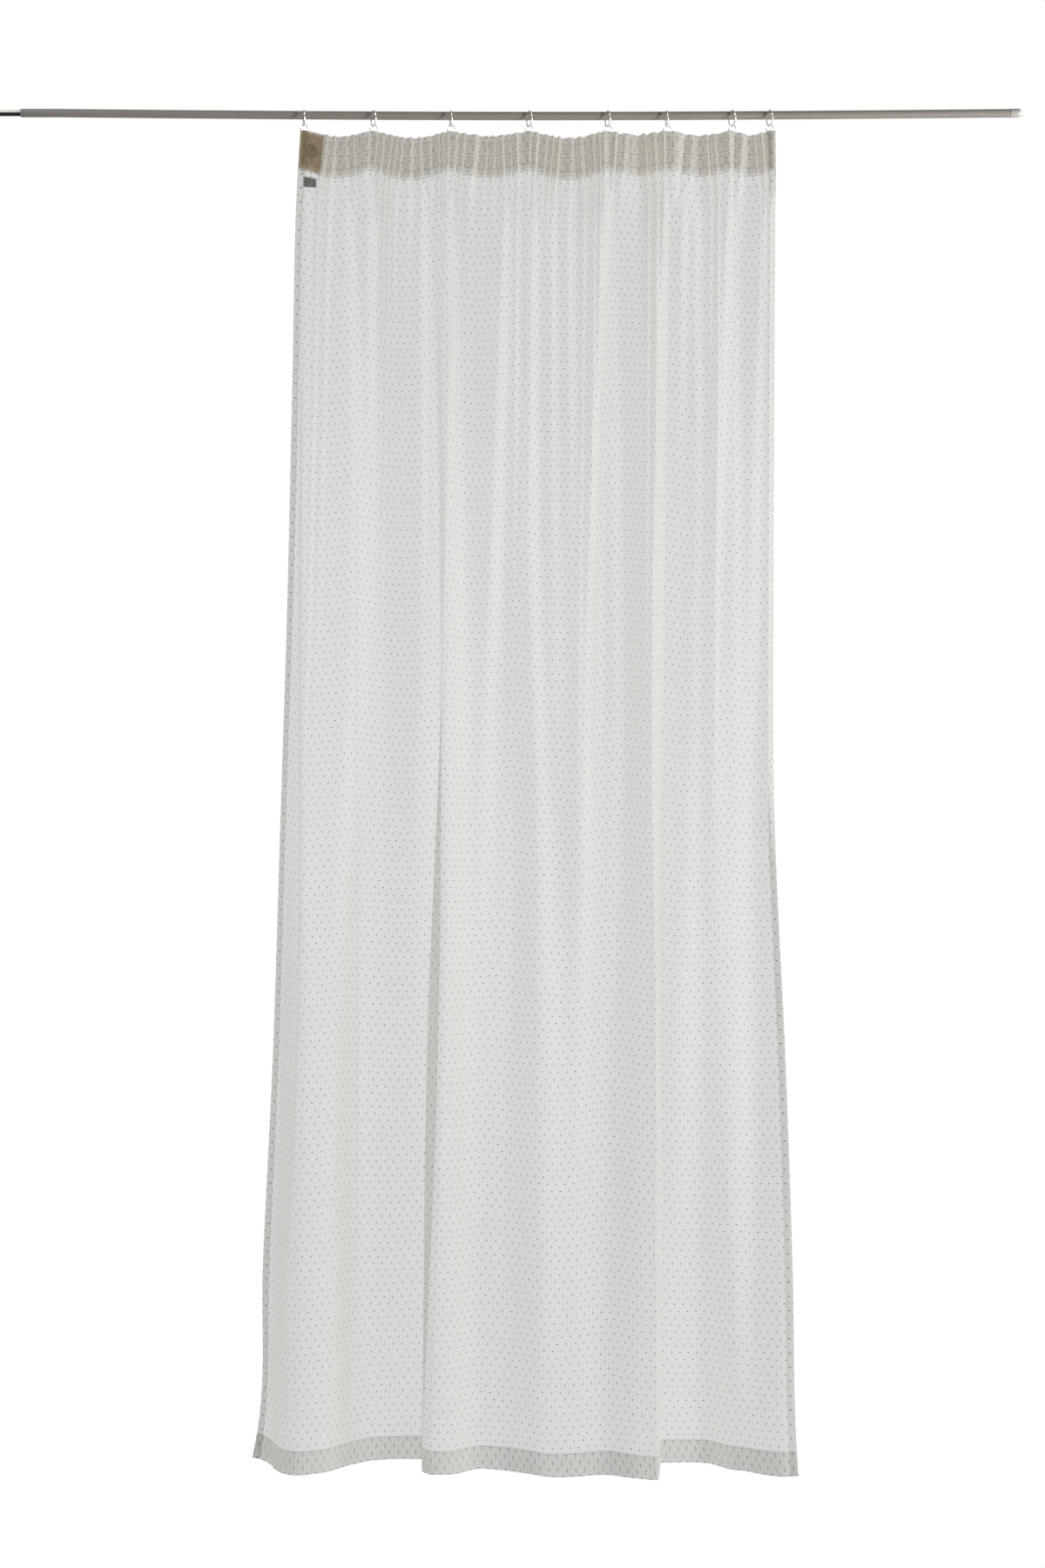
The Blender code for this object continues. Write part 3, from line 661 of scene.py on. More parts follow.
@dataclass
class Rod:
    """The telescoping rod: a thin tube at the left in a painted outer tube with an end cap."""

    inner_diameter: float = 0.0115
    inner_shown: float = 0.058
    inner_in_outer: float = 0.060
    outer_diameter: float = 0.0155
    length: float = 1.925
    cap_diameter: float = 0.0165
    cap_length: float = 0.026
    sag: float = 0.0055
    straight_end: float = 0.130
    gap: float = 0.0003
    lip: float = 0.0006
    broken_edge: float = 0.0005
    groove_place: float = 0.0040
    groove_width: float = 0.0012
    groove_depth: float = 0.0003
    cap_edge: float = 0.0004
    sides: int = 40
    sections: int = 36

    def axis_z(self, x: float) -> float:
        """Height of the rod's axis, which bows a little past its straight left end."""
        t = (x - self.straight_end) / (self.length - self.straight_end)
        return -self.sag * math.sin(math.pi * min(max(t, 0.0), 1.0))

    def sweep(
        self,
        name: str,
        stations: list[tuple[float, float]],
        finish: bpy.types.Material,
        shifts: list[float] | None = None,
    ) -> bpy.types.Object:
        """Draws a round section along the rod's line by extruding a circle from place to place.

        Args:
            name: The piece's name.
            stations: Pairs of a place along X and the radius there.
            finish: The piece's material.
            shifts: How far above the rod's axis each section's centre lies, if not on it.

        Returns:
            The closed piece.
        """
        deselect_all()
        shifts = shifts or [0.0] * len(stations)
        heights = [self.axis_z(place) + shift for (place, _), shift in zip(stations, shifts)]
        (x, radius), z = stations[0], heights[0]
        bpy.ops.mesh.primitive_circle_add(
            vertices=self.sides, radius=radius, fill_type="NGON",
            location=(x, 0.0, z), rotation=(0, math.pi / 2, 0),
        )
        made = bpy.context.object
        made.name = made.data.name = name
        made.data.materials.append(finish)
        bpy.ops.object.mode_set(mode="EDIT")
        bpy.ops.mesh.select_all(action="SELECT")
        for (new_x, new_radius), new_z in zip(stations[1:], heights[1:]):
            bpy.ops.mesh.extrude_region()
            bpy.ops.transform.translate(value=(new_x - x, 0.0, new_z - z))
            grown = new_radius / radius
            bpy.ops.transform.resize(value=(1.0, grown, grown), center_override=(new_x, 0.0, new_z))
            x, z, radius = new_x, new_z, new_radius
        bpy.ops.mesh.select_all(action="SELECT")
        bpy.ops.mesh.normals_make_consistent(inside=False)
        bpy.ops.object.mode_set(mode="OBJECT")
        return settle(made)

    def outer_tube(self) -> bpy.types.Object:
        """Builds the outer tube with its bore and the rolled lip of its mouth.

        Returns:
            The tube.
        """
        radius = self.outer_diameter / 2
        bore = self.inner_diameter / 2 + self.gap
        mouth = self.inner_shown
        lip_turns = [
            (mouth + self.lip * (1 - math.sin(a)), radius - self.lip * (1 - math.cos(a)))
            for a in np.linspace(math.pi / 2, 0, 5)
        ]
        bowed = np.linspace(self.straight_end, self.length - self.cap_length, self.sections)
        stations = [
            (mouth + self.inner_in_outer + self.gap, bore),
            (mouth + self.lip, bore),
            (mouth, bore + self.lip / 2),
            *lip_turns,
            *((float(x), radius) for x in bowed),
        ]
        tube = self.sweep("outer_tube", stations, TUBE_PAINT.make())
        return hang(tube, "painted_steel", "rod_outer_tube")

    def inner_tube(self) -> bpy.types.Object:
        """Builds the thin tube with the broken edges of its cut ends.

        Returns:
            The tube.
        """
        radius, edge = self.inner_diameter / 2, self.broken_edge
        end = self.inner_shown + self.inner_in_outer
        stations = [(0.0, radius - edge), (edge, radius), (end - edge, radius), (end, radius - edge)]
        tube = self.sweep("inner_tube", stations, INNER_STEEL_PAINTED_SHADE.make())
        return hang(tube, "dark_steel", "rod_inner_tube")

    def end_cap(self) -> bpy.types.Object:
        """Builds the cap on the right end, with a groove round it and a nose cut on the slant.

        Returns:
            The cap.
        """
        radius, edge, deep = self.cap_diameter / 2, self.cap_edge, self.groove_depth
        start = self.length - self.cap_length + self.gap
        groove = start + self.groove_place
        end = groove + self.groove_width
        barrel = [(start, radius - edge), (start + edge, radius), (groove, radius),
                  (groove + deep, radius - deep), (end - deep, radius - deep), (end, radius)]
        nose = [(self.length - back, (top - bottom) / 2) for back, top, bottom in CAP_NOSE]
        shifts = [0.0] * len(barrel) + [(top + bottom) / 2 for _, top, bottom in CAP_NOSE]
        cap = self.sweep("end_cap", barrel + nose, CAP_PAINT.make(), shifts)
        return hang(cap, "painted_steel", "rod_end_cap")

    def build(self) -> None:
        """Builds the three pieces of the rod."""
        self.inner_tube()
        self.outer_tube()
        self.end_cap()


# ---------------------------------------------------------------- the hooks and rings


@dataclass(frozen=True)
class Hook:
    """One hanging place: how far across it is, how much the heading sags to the next one, how far its
    ring has turned from edge-on, and how many gathers lie between it and the next one."""

    across: float
    sag_to_next: float
    turn: float
    gathers_to_next: float


HOOKS = (
    Hook(-0.4065, 0.0095, math.radians(11), 5.0),
    Hook(-0.2770, 0.0115, math.radians(21), 10.5),
    Hook(-0.1328, 0.0080, math.radians(9), 9.0),
    Hook(0.0130, 0.0110, math.radians(20), 9.0),
    Hook(0.1588, 0.0045, math.radians(17), 5.0),
    Hook(0.2689, 0.0065, math.radians(5), 5.0),
    Hook(0.3904, 0.0065, math.radians(21), 3.5),
    Hook(0.4601, 0.0, math.radians(17), 0.5),
)


@dataclass
class HangingSet:
    """The eight wire rings, the eyes linked through them and the hooks in the tape."""

    rod: Rod
    centre_x: float = 0.991
    ring_outer: float = 0.0315
    ring_wire: float = 0.0025
    eye_outer: float = 0.0150
    eye_wire: float = 0.0014
    hook_wire: float = 0.0012
    crook_radius: float = 0.0022
    hook_length: float = 0.017
    hook_prong: float = 0.009
    gap: float = 0.0003
    wire_sides: int = 14
    hook_sides: int = 10
    joint_angle: float = math.radians(3)
    ring_joint: float = math.radians(200)
    eye_joint: float = math.radians(-75)

    def wire_ring(
        self, name: str, outer: float, wire: float, steps: int, finish: bpy.types.Material
    ) -> bpy.types.Object:
        """Spins a round wire into a ring whose cut ends meet at a fine joint.

        Args:
            name: The piece's name.
            outer: The ring's outer diameter.
            wire: The wire's diameter.
            steps: How many steps go round the ring.
            finish: The piece's material.

        Returns:
            The ring, flat round the origin.
        """
        deselect_all()
        middle = (outer - wire) / 2
        bpy.ops.mesh.primitive_circle_add(
            vertices=self.wire_sides, radius=wire / 2,
            location=(middle, 0, 0), rotation=(math.pi / 2, 0, 0),
        )
        made = bpy.context.object
        made.name = made.data.name = name
        made.data.materials.append(finish)
        bpy.ops.object.mode_set(mode="EDIT")
        bpy.ops.mesh.select_all(action="SELECT")
        bpy.ops.mesh.spin(steps=steps, angle=TAU - self.joint_angle, center=(0, 0, 0), axis=(0, 0, 1))
        bpy.ops.mesh.select_all(action="SELECT")
        bpy.ops.mesh.fill_holes(sides=0)
        bpy.ops.mesh.select_all(action="SELECT")
        bpy.ops.mesh.normals_make_consistent(inside=False)
        bpy.ops.object.mode_set(mode="OBJECT")
        return settle(made)

    def ring_centre(self, hook: Hook) -> Point:
        """Centre of the big ring, which hangs on the rod."""
        x = hook.across + self.centre_x
        inner_radius = self.ring_outer / 2 - self.ring_wire
        return x, 0.0, self.rod.axis_z(x) + self.rod.outer_diameter / 2 + self.gap - inner_radius

    def eye_centre(self, hook: Hook) -> Point:
        """Centre of the wire eye that hangs from the big ring's lowest point."""
        x, y, z = self.ring_centre(hook)
        wire_top = z - (self.ring_outer / 2 - self.ring_wire)
        return x, y, wire_top + self.gap + self.eye_wire - self.eye_outer / 2

    def hook_line(self, hook: Hook) -> np.ndarray:
        """The hook's line: a crook over the eye's lowest point, a shank and a prong behind the tape.

        Args:
            hook: The hanging place.

        Returns:
            The line's points, one row each.
        """
        x, y, z = self.eye_centre(hook)
        seat = z - (self.eye_outer - self.eye_wire) / 2
        radius, foot = self.crook_radius, seat - self.hook_length
        half_turn = np.linspace(0, math.pi, 13)
        points = [(x, y + radius, seat - 2 * radius), (x, y + radius, seat - radius)]
        points += [(x, y + radius * math.cos(a), seat + radius * math.sin(a)) for a in half_turn]
        points += [(x, y - radius, seat + (foot - seat) * t) for t in (0.25, 0.5, 0.75)]
        points += [(x, y - radius * math.cos(a), foot - radius * math.sin(a)) for a in half_turn]
        points += [(x, y + radius, foot + self.hook_prong * t) for t in (0.33, 0.67, 1.0)]
        return np.array(points)

    def build(self) -> None:
        """Builds the rings, eyes and hooks, each in its CAD node's place."""
        finish = NICKELLED_WIRE.make()
        for number, hook in enumerate(HOOKS, 1):
            ring = self.wire_ring(f"ring_wire_{number}", self.ring_outer, self.ring_wire, 72, finish)
            settle(ring, rotation=(0, 0, self.ring_joint))
            settle(ring, self.ring_centre(hook), (math.pi / 2, 0, math.pi / 2 + hook.turn))
            hang(ring, "wire", f"ring_{number}")
            eye = self.wire_ring(f"eye_wire_{number}", self.eye_outer, self.eye_wire, 48, finish)
            settle(eye, rotation=(0, 0, self.eye_joint))
            settle(eye, self.eye_centre(hook), (math.pi / 2, 0, 0))
            hang(eye, "wire", f"eye_{number}")
            line, radius = self.hook_line(hook), self.hook_wire / 2
            wire = tube_along(f"hook_wire_{number}", line, radius, self.hook_sides, finish)
            hang(wire, "wire", f"hook_{number}")


# ---------------------------------------------------------------- the hung cloth


@dataclass(frozen=True)
class Level:
    """The curtain's two edges at one drop: how far across, and how far forward they hang."""

    drop: float
    left: float
    right: float
    left_forward: float
    right_forward: float


LEVELS = (
    Level(0.00, -0.412, 0.470, 0.010, 0.010),
    Level(0.10, -0.418, 0.471, 0.008, 0.008),
    Level(0.45, -0.428, 0.471, -0.004, 0.000),
    Level(0.85, -0.438, 0.470, -0.014, -0.008),
    Level(1.30, -0.454, 0.473, -0.035, -0.022),
    Level(1.75, -0.471, 0.494, -0.060, -0.030),
    Level(2.13, -0.490, 0.504, -0.068, -0.004),
    Level(2.44, -0.500, 0.508, -0.070, 0.024),
    Level(2.50, -0.510, 0.511, -0.056, 0.034),
)

FOLD_DROPS = (0.15, 0.85, 1.75, 2.47)


@dataclass(frozen=True)
class Fold:
    """A wall of cloth that turns away from the room (steps above 0) or comes towards it, read from
    left to right. Each row of numbers is for the four heights of FOLD_DROPS. tuck is how far the
    cloth in front of the wall laps over the cloth behind it."""

    name: str
    across: FourHeights
    steps: FourHeights
    widths: FourHeights = (0.013, 0.013, 0.020, 0.030)
    tuck: FourHeights = (0.0, 0.0, 0.0, 0.0)


FOLDS = (
    Fold("left_turn", (-0.405, -0.424, -0.440, -0.462), (-0.003, -0.012, -0.078, -0.104),
         (0.012, 0.020, 0.050, 0.068)),
    Fold("left_crease", (-0.409, -0.4135, -0.420, -0.467), (0.000, -0.009, -0.008, -0.008),
         (0.007, 0.007, 0.007, 0.007)),
    Fold("back_crease", (-0.306, -0.3075, -0.3095, -0.317), (0.000, -0.003, -0.008, -0.007),
         (0.007, 0.007, 0.007, 0.007)),
    Fold("left_back", (-0.318, -0.301, -0.326, -0.330), (0.008, 0.022, 0.062, 0.090),
         (0.016, 0.016, 0.055, 0.085)),
    Fold("hook_2", (-0.277, -0.275, -0.269, -0.265), (0.020, 0.013, 0.003, 0.000)),
    Fold("before_front", (-0.180, -0.172, -0.192, -0.199), (0.012, 0.028, 0.006, 0.000),
         (0.013, 0.014, 0.020, 0.030)),
    Fold("front_left_wall", (-0.160, -0.149, -0.168, -0.188), (0.000, -0.018, -0.062, -0.078),
         (0.013, 0.013, 0.013, 0.012), (0.0, 0.004, 0.030, 0.006)),
    Fold("front_left_roll", (-0.140, -0.128, -0.150, -0.178), (0.000, -0.004, -0.020, -0.018),
         (0.020, 0.030, 0.036, 0.022)),
    Fold("hook_3", (-0.130, -0.123, -0.115, -0.112), (0.018, 0.032, 0.045, 0.046),
         (0.013, 0.013, 0.035, 0.060)),
    Fold("hook_3_right", (-0.028, -0.047, -0.068, -0.070), (0.015, 0.028, 0.004, 0.000),
         (0.013, 0.014, 0.020, 0.030)),
    Fold("hook_4_left", (-0.008, -0.003, -0.019, -0.019), (0.010, 0.012, 0.002, 0.000)),
    Fold("middle_front", (0.006, 0.010, 0.000, -0.003), (0.000, -0.008, -0.036, -0.038),
         (0.013, 0.013, 0.028, 0.042)),
    Fold("hook_4", (0.023, 0.023, 0.060, 0.066), (0.018, 0.026, 0.016, 0.003),
         (0.013, 0.013, 0.022, 0.040)),
    Fold("hook_4_right", (0.058, 0.065, 0.084, 0.088), (0.008, 0.012, 0.004, 0.000)),
    Fold("between_4_and_5", (0.091, 0.100, 0.105, 0.105), (0.015, 0.006, 0.000, 0.000)),
    Fold("hook_5", (0.156, 0.136, 0.125, 0.120), (0.018, 0.046, 0.030, 0.007),
         (0.013, 0.027, 0.028, 0.040)),
    Fold("hook_5_right", (0.166, 0.178, 0.183, 0.183), (0.010, 0.022, 0.004, 0.000)),
    Fold("front_again", (0.215, 0.207, 0.194, 0.180), (0.000, -0.008, -0.038, -0.026),
         (0.020, 0.020, 0.026, 0.034)),
    Fold("front_right_wall", (0.267, 0.253, 0.253, 0.256), (0.024, 0.060, 0.098, 0.094),
         (0.018, 0.028, 0.015, 0.013)),
    Fold("hook_6_right", (0.303, 0.298, 0.290, 0.285), (0.012, 0.007, 0.000, 0.000),
         (0.013, 0.014, 0.020, 0.030)),
    Fold("right_hollow", (0.330, 0.330, 0.314, 0.300), (0.010, 0.028, 0.008, 0.024),
         (0.013, 0.014, 0.030, 0.055)),
    Fold("right_rise", (0.350, 0.350, 0.356, 0.377), (0.000, 0.000, -0.022, -0.046),
         (0.030, 0.030, 0.036, 0.040)),
    Fold("hook_7", (0.386, 0.366, 0.374, 0.374), (0.018, 0.032, 0.004, 0.000),
         (0.013, 0.014, 0.020, 0.030)),
    Fold("hook_7_right", (0.399, 0.400, 0.416, 0.420), (0.008, 0.015, 0.020, 0.000),
         (0.013, 0.013, 0.022, 0.040)),
    Fold("hook_8", (0.452, 0.439, 0.431, 0.431), (0.012, 0.018, 0.000, 0.000),
         (0.012, 0.013, 0.020, 0.030)),
    Fold("right_edge_rise", (0.456, 0.445, 0.462, 0.450), (-0.004, -0.012, -0.014, -0.040),
         (0.009, 0.010, 0.040, 0.060)),
)


@dataclass(frozen=True)
class Stand:
    """A place between folds where the cloth's distance forward is given, at the four heights."""

    name: str
    across: FourHeights
    forward: FourHeights


STANDS = (
    Stand("left_panel", (-0.365, -0.365, -0.379, -0.424), (0.006, 0.008, 0.022, 0.032)),
    Stand("left_hollow", (-0.215, -0.215, -0.232, -0.250), (0.002, -0.004, -0.038, -0.074)),
    Stand("left_front", (-0.144, -0.138, -0.152, -0.152), (0.008, 0.016, 0.057, 0.036)),
    Stand("middle_hollow", (-0.080, -0.080, -0.045, -0.045), (-0.002, -0.008, 0.011, -0.012)),
    Stand("middle_front", (0.040, 0.042, 0.028, 0.028), (0.000, -0.004, 0.046, 0.024)),
    Stand("right_hollow", (0.110, 0.114, 0.160, 0.146), (-0.002, 0.012, 0.007, 0.021)),
    Stand("right_front", (0.240, 0.232, 0.235, 0.228), (0.008, 0.030, 0.054, 0.045)),
    Stand("right_back", (0.316, 0.308, 0.272, 0.320), (-0.004, -0.022, -0.046, -0.070)),
    Stand("right_panel", (0.372, 0.383, 0.384, 0.395), (0.006, -0.010, -0.036, -0.018)),
)

# How deep the gathers still are on the way down: drop, share
GATHERING = (
    (0.00, 1.0), (0.08, 0.9), (0.15, 0.4), (0.32, 0.15), (0.70, 0.04), (1.20, 0.0), (2.50, 0.0))

# How far the folds' corners are rounded on the way down, where the cloth isn't held: drop, metres
ROUNDING = (
    (0.00, 0.0), (0.08, 0.0), (0.20, 0.004), (0.50, 0.007), (0.85, 0.010), (1.30, 0.014), (2.50, 0.016))

# How much of the folds' depth is kept at each height: drop, factor
DEPTH = (
    (0.00, 1.15), (0.08, 1.15), (0.20, 1.35), (0.45, 1.45), (0.85, 1.40), (1.40, 1.38), (1.75, 1.25),
    (2.20, 1.15), (2.50, 1.08))

# The folds that keep a sharp corner, and the one whose cloth laps over itself
CREASED = ("left_crease", "back_crease", "front_left_wall", "front_left_roll", "front_right_wall")
LAPPED = "front_left_wall"


@dataclass(frozen=True)
class Ripple:
    """One wave of the gathers' unevenness: its strength, how many times it comes in the heading's
    width, and where in its turn it starts."""

    strength: float
    count: float
    start: float


# Gathers stand closer or wider, run deeper or flatter and end higher or lower, none like the next
UNEVEN_PLACES = (Ripple(0.26, 9.1, 0.2), Ripple(0.14, 21.3, 0.6))
UNEVEN_DEPTHS = (Ripple(0.25, 5.7, 0.1), Ripple(0.22, 16.3, 0.4), Ripple(0.22, 23.1, 0.7))
UNEVEN_ENDS = (Ripple(0.7, 7.3, 0.35),)


def rippled(ripples: tuple[Ripple, ...], share: np.ndarray) -> np.ndarray:
    """The sum of some ripples at each share of the way across the heading."""
    return sum(wave.strength * np.sin(TAU * (wave.count * share + wave.start)) for wave in ripples)


def at_heights(row: FourHeights, drop: np.ndarray | float) -> np.ndarray:
    """Reads a smooth curve through values given at the four heights of FOLD_DROPS."""
    return smooth_through(FOLD_DROPS, row, drop)


@dataclass
class HungCloth:
    """The middle surface of the cloth as it hangs. It finds a point in space for each place on the
    flat cloth, so that the voile, its dots, its stitches and the tape all lie on the same folds."""

    rod: Rod
    centre_x: float = 0.991
    flat_width: float = 1.400
    flat_length: float = 2.492
    heading_depth: float = 0.0745
    top_below_rod: float = 0.0305
    right_corner_drop: float = 0.008
    gather_depth: float = 0.25
    gather_lean: float = 0.22
    gather_fan: float = 0.0065
    gather_fan_ends: float = 1.4
    gathers_end: float = 1.1
    plain_left_end: float = 0.036
    plain_left_fades: float = 0.012
    plain_right_end: float = 0.010
    hook_flattens: float = 0.85
    hook_reach: float = 0.006
    heading_out: float = 0.0115
    heading_hollow: float = 0.008
    free_of_heading: float = 0.30
    fold_share_at_top: float = 0.20
    folds_form_in: float = 0.10
    sag_left_at_hem: float = 0.4
    deeper_swag: float = 0.4
    swag_roundness: float = 1.3
    tuck_spread: float = 0.045
    samples: int = 3200
    edge_curl: float = 0.018
    edge_curl_reach: float = 0.012
    edge_curl_ends: float = 1.45
    edge_curl_fades_in: float = 0.35
    steepest: float = 2.4
    steepest_lapped: float = 1.1
    lap_reach: float = 0.035
    steepest_fall: float = 0.9
    fall_evened: float = 0.012
    columns: int = 560
    drops: np.ndarray = field(init=False)
    from_left: np.ndarray = field(init=False)
    grid: Grid = field(init=False)
    steepness: np.ndarray = field(init=False)

    def __post_init__(self) -> None:
        """Lays out the fine grid once for all the pieces that lie on the cloth, and how steeply each
        of its places is seen, as the length of cloth for a length across."""
        length, depth = self.flat_length, self.heading_depth
        self.drops = np.concatenate([
            (0.0, 0.0012),
            np.linspace(0.006, depth, 7),
            np.linspace(depth + 0.006, 0.30, 27),
            np.linspace(0.312, 0.90, 38),
            np.linspace(0.92, length - 0.075, 62),
            np.linspace(length - 0.060, length - 0.0012, 9),
            (length,),
        ])
        self.from_left = np.linspace(0.0, self.flat_width, self.columns + 1)
        self.grid = self.rows(self.drops, self.from_left)
        x, y, _ = self.grid
        ahead = np.gradient(x, axis=1)
        step = np.hypot(ahead, np.gradient(y, axis=1))
        lapped = next(fold for fold in FOLDS if fold.name == LAPPED)
        wall = at_heights(lapped.across, self.drops)[:, None] + self.centre_x
        laps = at_heights(lapped.tuck, self.drops)[:, None] / max(lapped.tuck)
        near = laps * np.exp(-(((x - wall) / self.lap_reach) ** 2))
        most = self.steepest - (self.steepest - self.steepest_lapped) * near
        self.steepness = np.minimum(np.maximum(step / np.maximum(np.abs(ahead), 1e-6), 1.0), most)

    def at_level(self, column: str, drop: float) -> float:
        """One column of LEVELS read at a drop."""
        return read_table(tuple((level.drop, getattr(level, column)) for level in LEVELS), drop)

    def between_hooks(self, across: np.ndarray) -> list[np.ndarray]:
        """For each pair of neighbouring hooks, how far along from the first to the second."""
        pairs = zip(HOOKS, HOOKS[1:])
        return [np.clip((across - a.across) / (b.across - a.across), 0.0, 1.0) for a, b in pairs]

    def heading_sag(self, across: np.ndarray) -> np.ndarray:
        """How far the heading swags below the line of its hooks."""
        pairs = zip(HOOKS, self.between_hooks(across))
        return sum(hook.sag_to_next * np.sin(math.pi * t) ** self.swag_roundness for hook, t in pairs)

    def heading_forward(self, across: np.ndarray) -> np.ndarray:
        """How far forward the heading hangs: out at each hook and back between them."""
        hollows = sum(np.sin(math.pi * t) ** 2 for t in self.between_hooks(across))
        return self.heading_out - self.heading_hollow * hollows

    def gathers(self, across: np.ndarray, left: float, right: float, drop: float) -> np.ndarray:
        """The tape's gathers: close at the left and wider towards the right, each leaning a little, so
        that its side towards the left is the broader one. Between two hooks they fan out downwards,
        and some of them run out sooner than others.

        Args:
            across: Places across the hung cloth.
            left: Where its left edge is at this height.
            right: Where its right edge is.
            drop: How far below the top edge.

        Returns:
            How far forward the gathers push the cloth at each place.
        """
        top_left, top_right = LEVELS[0].left, LEVELS[0].right
        at_top = top_left + (across - left) / (right - left) * (top_right - top_left)
        fanned = self.gather_fan * min(drop / self.heading_depth, self.gather_fan_ends)
        at_top = at_top + fanned * sum(np.sin(TAU * t) for t in self.between_hooks(at_top))
        places = [top_left + self.plain_left_end, *(hook.across for hook in HOOKS[1:]), top_right]
        counts = np.cumsum([0.0, *(hook.gathers_to_next for hook in HOOKS)])
        s = (at_top - top_left) / (top_right - top_left)
        phase = np.interp(at_top, places, counts)
        pitch = np.interp(at_top, places[:-1], np.diff(places) / np.diff(counts))
        phase += rippled(UNEVEN_PLACES, s)
        depth = 1.0 + rippled(UNEVEN_DEPTHS, s)
        kept = max(read_table(GATHERING, drop), 0.0) ** (self.gathers_end + rippled(UNEVEN_ENDS, s))
        gathered = smooth_step((at_top - places[0]) / self.plain_left_fades)
        gathered *= smooth_step((top_right - at_top) / self.plain_right_end)
        for hook in HOOKS:
            near = np.exp(-(((at_top - hook.across) / self.hook_reach) ** 2))
            gathered *= 1.0 - self.hook_flattens * near
        turn = TAU * phase
        wave = np.sin(turn) - self.gather_lean * np.sin(2 * turn)
        return self.gather_depth * pitch * depth * gathered * kept * wave

    def section(self, drop: float) -> Grid:
        """The cloth's cross-section at one height.

        Args:
            drop: How far below the top edge.

        Returns:
            Places across, distances forward, and the length of cloth up to each of them.
        """
        true_drop, drop = drop, max(drop, self.heading_depth)
        left, right = self.at_level("left", drop), self.at_level("right", drop)
        across = np.linspace(left, right, self.samples)
        places = [left, *(at_heights(stand.across, drop) for stand in STANDS), right]
        stands = [
            self.at_level("left_forward", drop),
            *(at_heights(stand.forward, drop) for stand in STANDS),
            self.at_level("right_forward", drop),
        ]
        heading = 1.0 - float(smooth_step((drop - self.heading_depth) / self.free_of_heading))
        base = smooth_through(places, stands, across) * (1 - heading)
        base += self.heading_forward(across) * heading
        below = float(smooth_step((drop - self.heading_depth) / self.folds_form_in))
        presence = self.fold_share_at_top + (1 - self.fold_share_at_top) * below
        soft, creased, sideways = np.zeros((3, len(across)))
        for fold in FOLDS:
            rows = (fold.across, fold.steps, fold.widths, fold.tuck)
            centre, step, width, tuck = (float(at_heights(row, drop)) for row in rows)
            rise = smooth_step((across - centre) / width + 0.5)
            (creased if fold.name in CREASED else soft)[:] -= step * rise
            near = np.exp(-(((across - centre) / self.tuck_spread) ** 2))
            sideways -= tuck * below * (rise - 0.5) * near
        walls = creased + rounded(soft, read_table(ROUNDING, drop) / (across[1] - across[0]))
        walls -= smooth_through(places, np.interp(places, across, walls), across)
        relief = presence * walls + self.gathers(across, left, right, true_drop)
        lapped = across + sideways
        forward = base + read_table(DEPTH, drop) * relief
        left_of_it = (self.edge_curl_ends - drop) / self.edge_curl_fades_in
        curl = self.edge_curl * float(smooth_step(below) * smooth_step(left_of_it))
        forward -= curl * smooth_step((across - right) / self.edge_curl_reach + 1) ** 1.5
        steps = np.hypot(np.diff(lapped), np.diff(forward))
        return lapped, forward, np.concatenate([[0.0], np.cumsum(steps)])

    def fitted(self, lapped: np.ndarray, drop: float) -> np.ndarray:
        """Stretches the places of a section a little, so that its ends lie on the curtain's edges."""
        left, right = self.at_level("left", drop), self.at_level("right", drop)
        return left + (lapped - lapped[0]) * (right - left) / (lapped[-1] - lapped[0])

    def rows(self, drops: np.ndarray, from_left: np.ndarray) -> Grid:
        """Places of the flat cloth as they hang.

        Args:
            drops: Rising distances down the flat cloth.
            from_left: Distances from the flat cloth's left edge.

        Returns:
            Arrays of x, y and z with a row for each drop.
        """
        across, forward = [], []
        for drop in drops:
            lapped, out, along = self.section(float(drop))
            reached = from_left * along[-1] / self.flat_width
            across.append(np.interp(reached, along, self.fitted(lapped, float(drop))))
            forward.append(np.interp(reached, along, out))
        across, forward = np.array(across), np.array(forward)
        fallen = np.zeros_like(across)
        for i in range(1, len(drops)):
            moved = np.hypot(across[i] - across[i - 1], forward[i] - forward[i - 1])
            step = drops[i] - drops[i - 1]
            fall = np.sqrt(np.maximum(step**2 - moved**2, (self.steepest_fall * step) ** 2))
            fallen[i] = fallen[i - 1] + rounded(fall, self.fall_evened / (from_left[1] - from_left[0]))
        down = np.asarray(drops)[:, None] / self.flat_length
        held = smooth_step(np.asarray(drops)[:, None] / self.heading_depth)
        swag = 1 - (1 - self.sag_left_at_hem) * smooth_step(down) + self.deeper_swag * held * (1 - down)
        sag = self.heading_sag(across[0]) * swag
        slant = self.right_corner_drop * down * (from_left / self.flat_width)
        rod = np.array([self.rod.axis_z(x + self.centre_x) for x in across[0]])
        z = rod - self.top_below_rod - sag - slant - fallen
        return across + self.centre_x, -forward, z

    def read(self, values: np.ndarray, u: np.ndarray, v: np.ndarray) -> np.ndarray:
        """Reads an array of the grid between its points.

        Args:
            values: An array with a value for each point of the grid.
            u: Distances from the flat cloth's left edge.
            v: Distances down the flat cloth, in the same shape.

        Returns:
            The values there.
        """
        column = np.clip(u / self.flat_width * self.columns, 0, self.columns - 1e-6)
        j = column.astype(int)
        i = np.clip(np.searchsorted(self.drops, v, side="right") - 1, 0, len(self.drops) - 2)
        s = column - j
        t = np.clip((v - self.drops[i]) / (self.drops[i + 1] - self.drops[i]), 0.0, 1.0)
        upper = values[i, j] * (1 - s) + values[i, j + 1] * s
        lower = values[i + 1, j] * (1 - s) + values[i + 1, j + 1] * s
        return upper * (1 - t) + lower * t

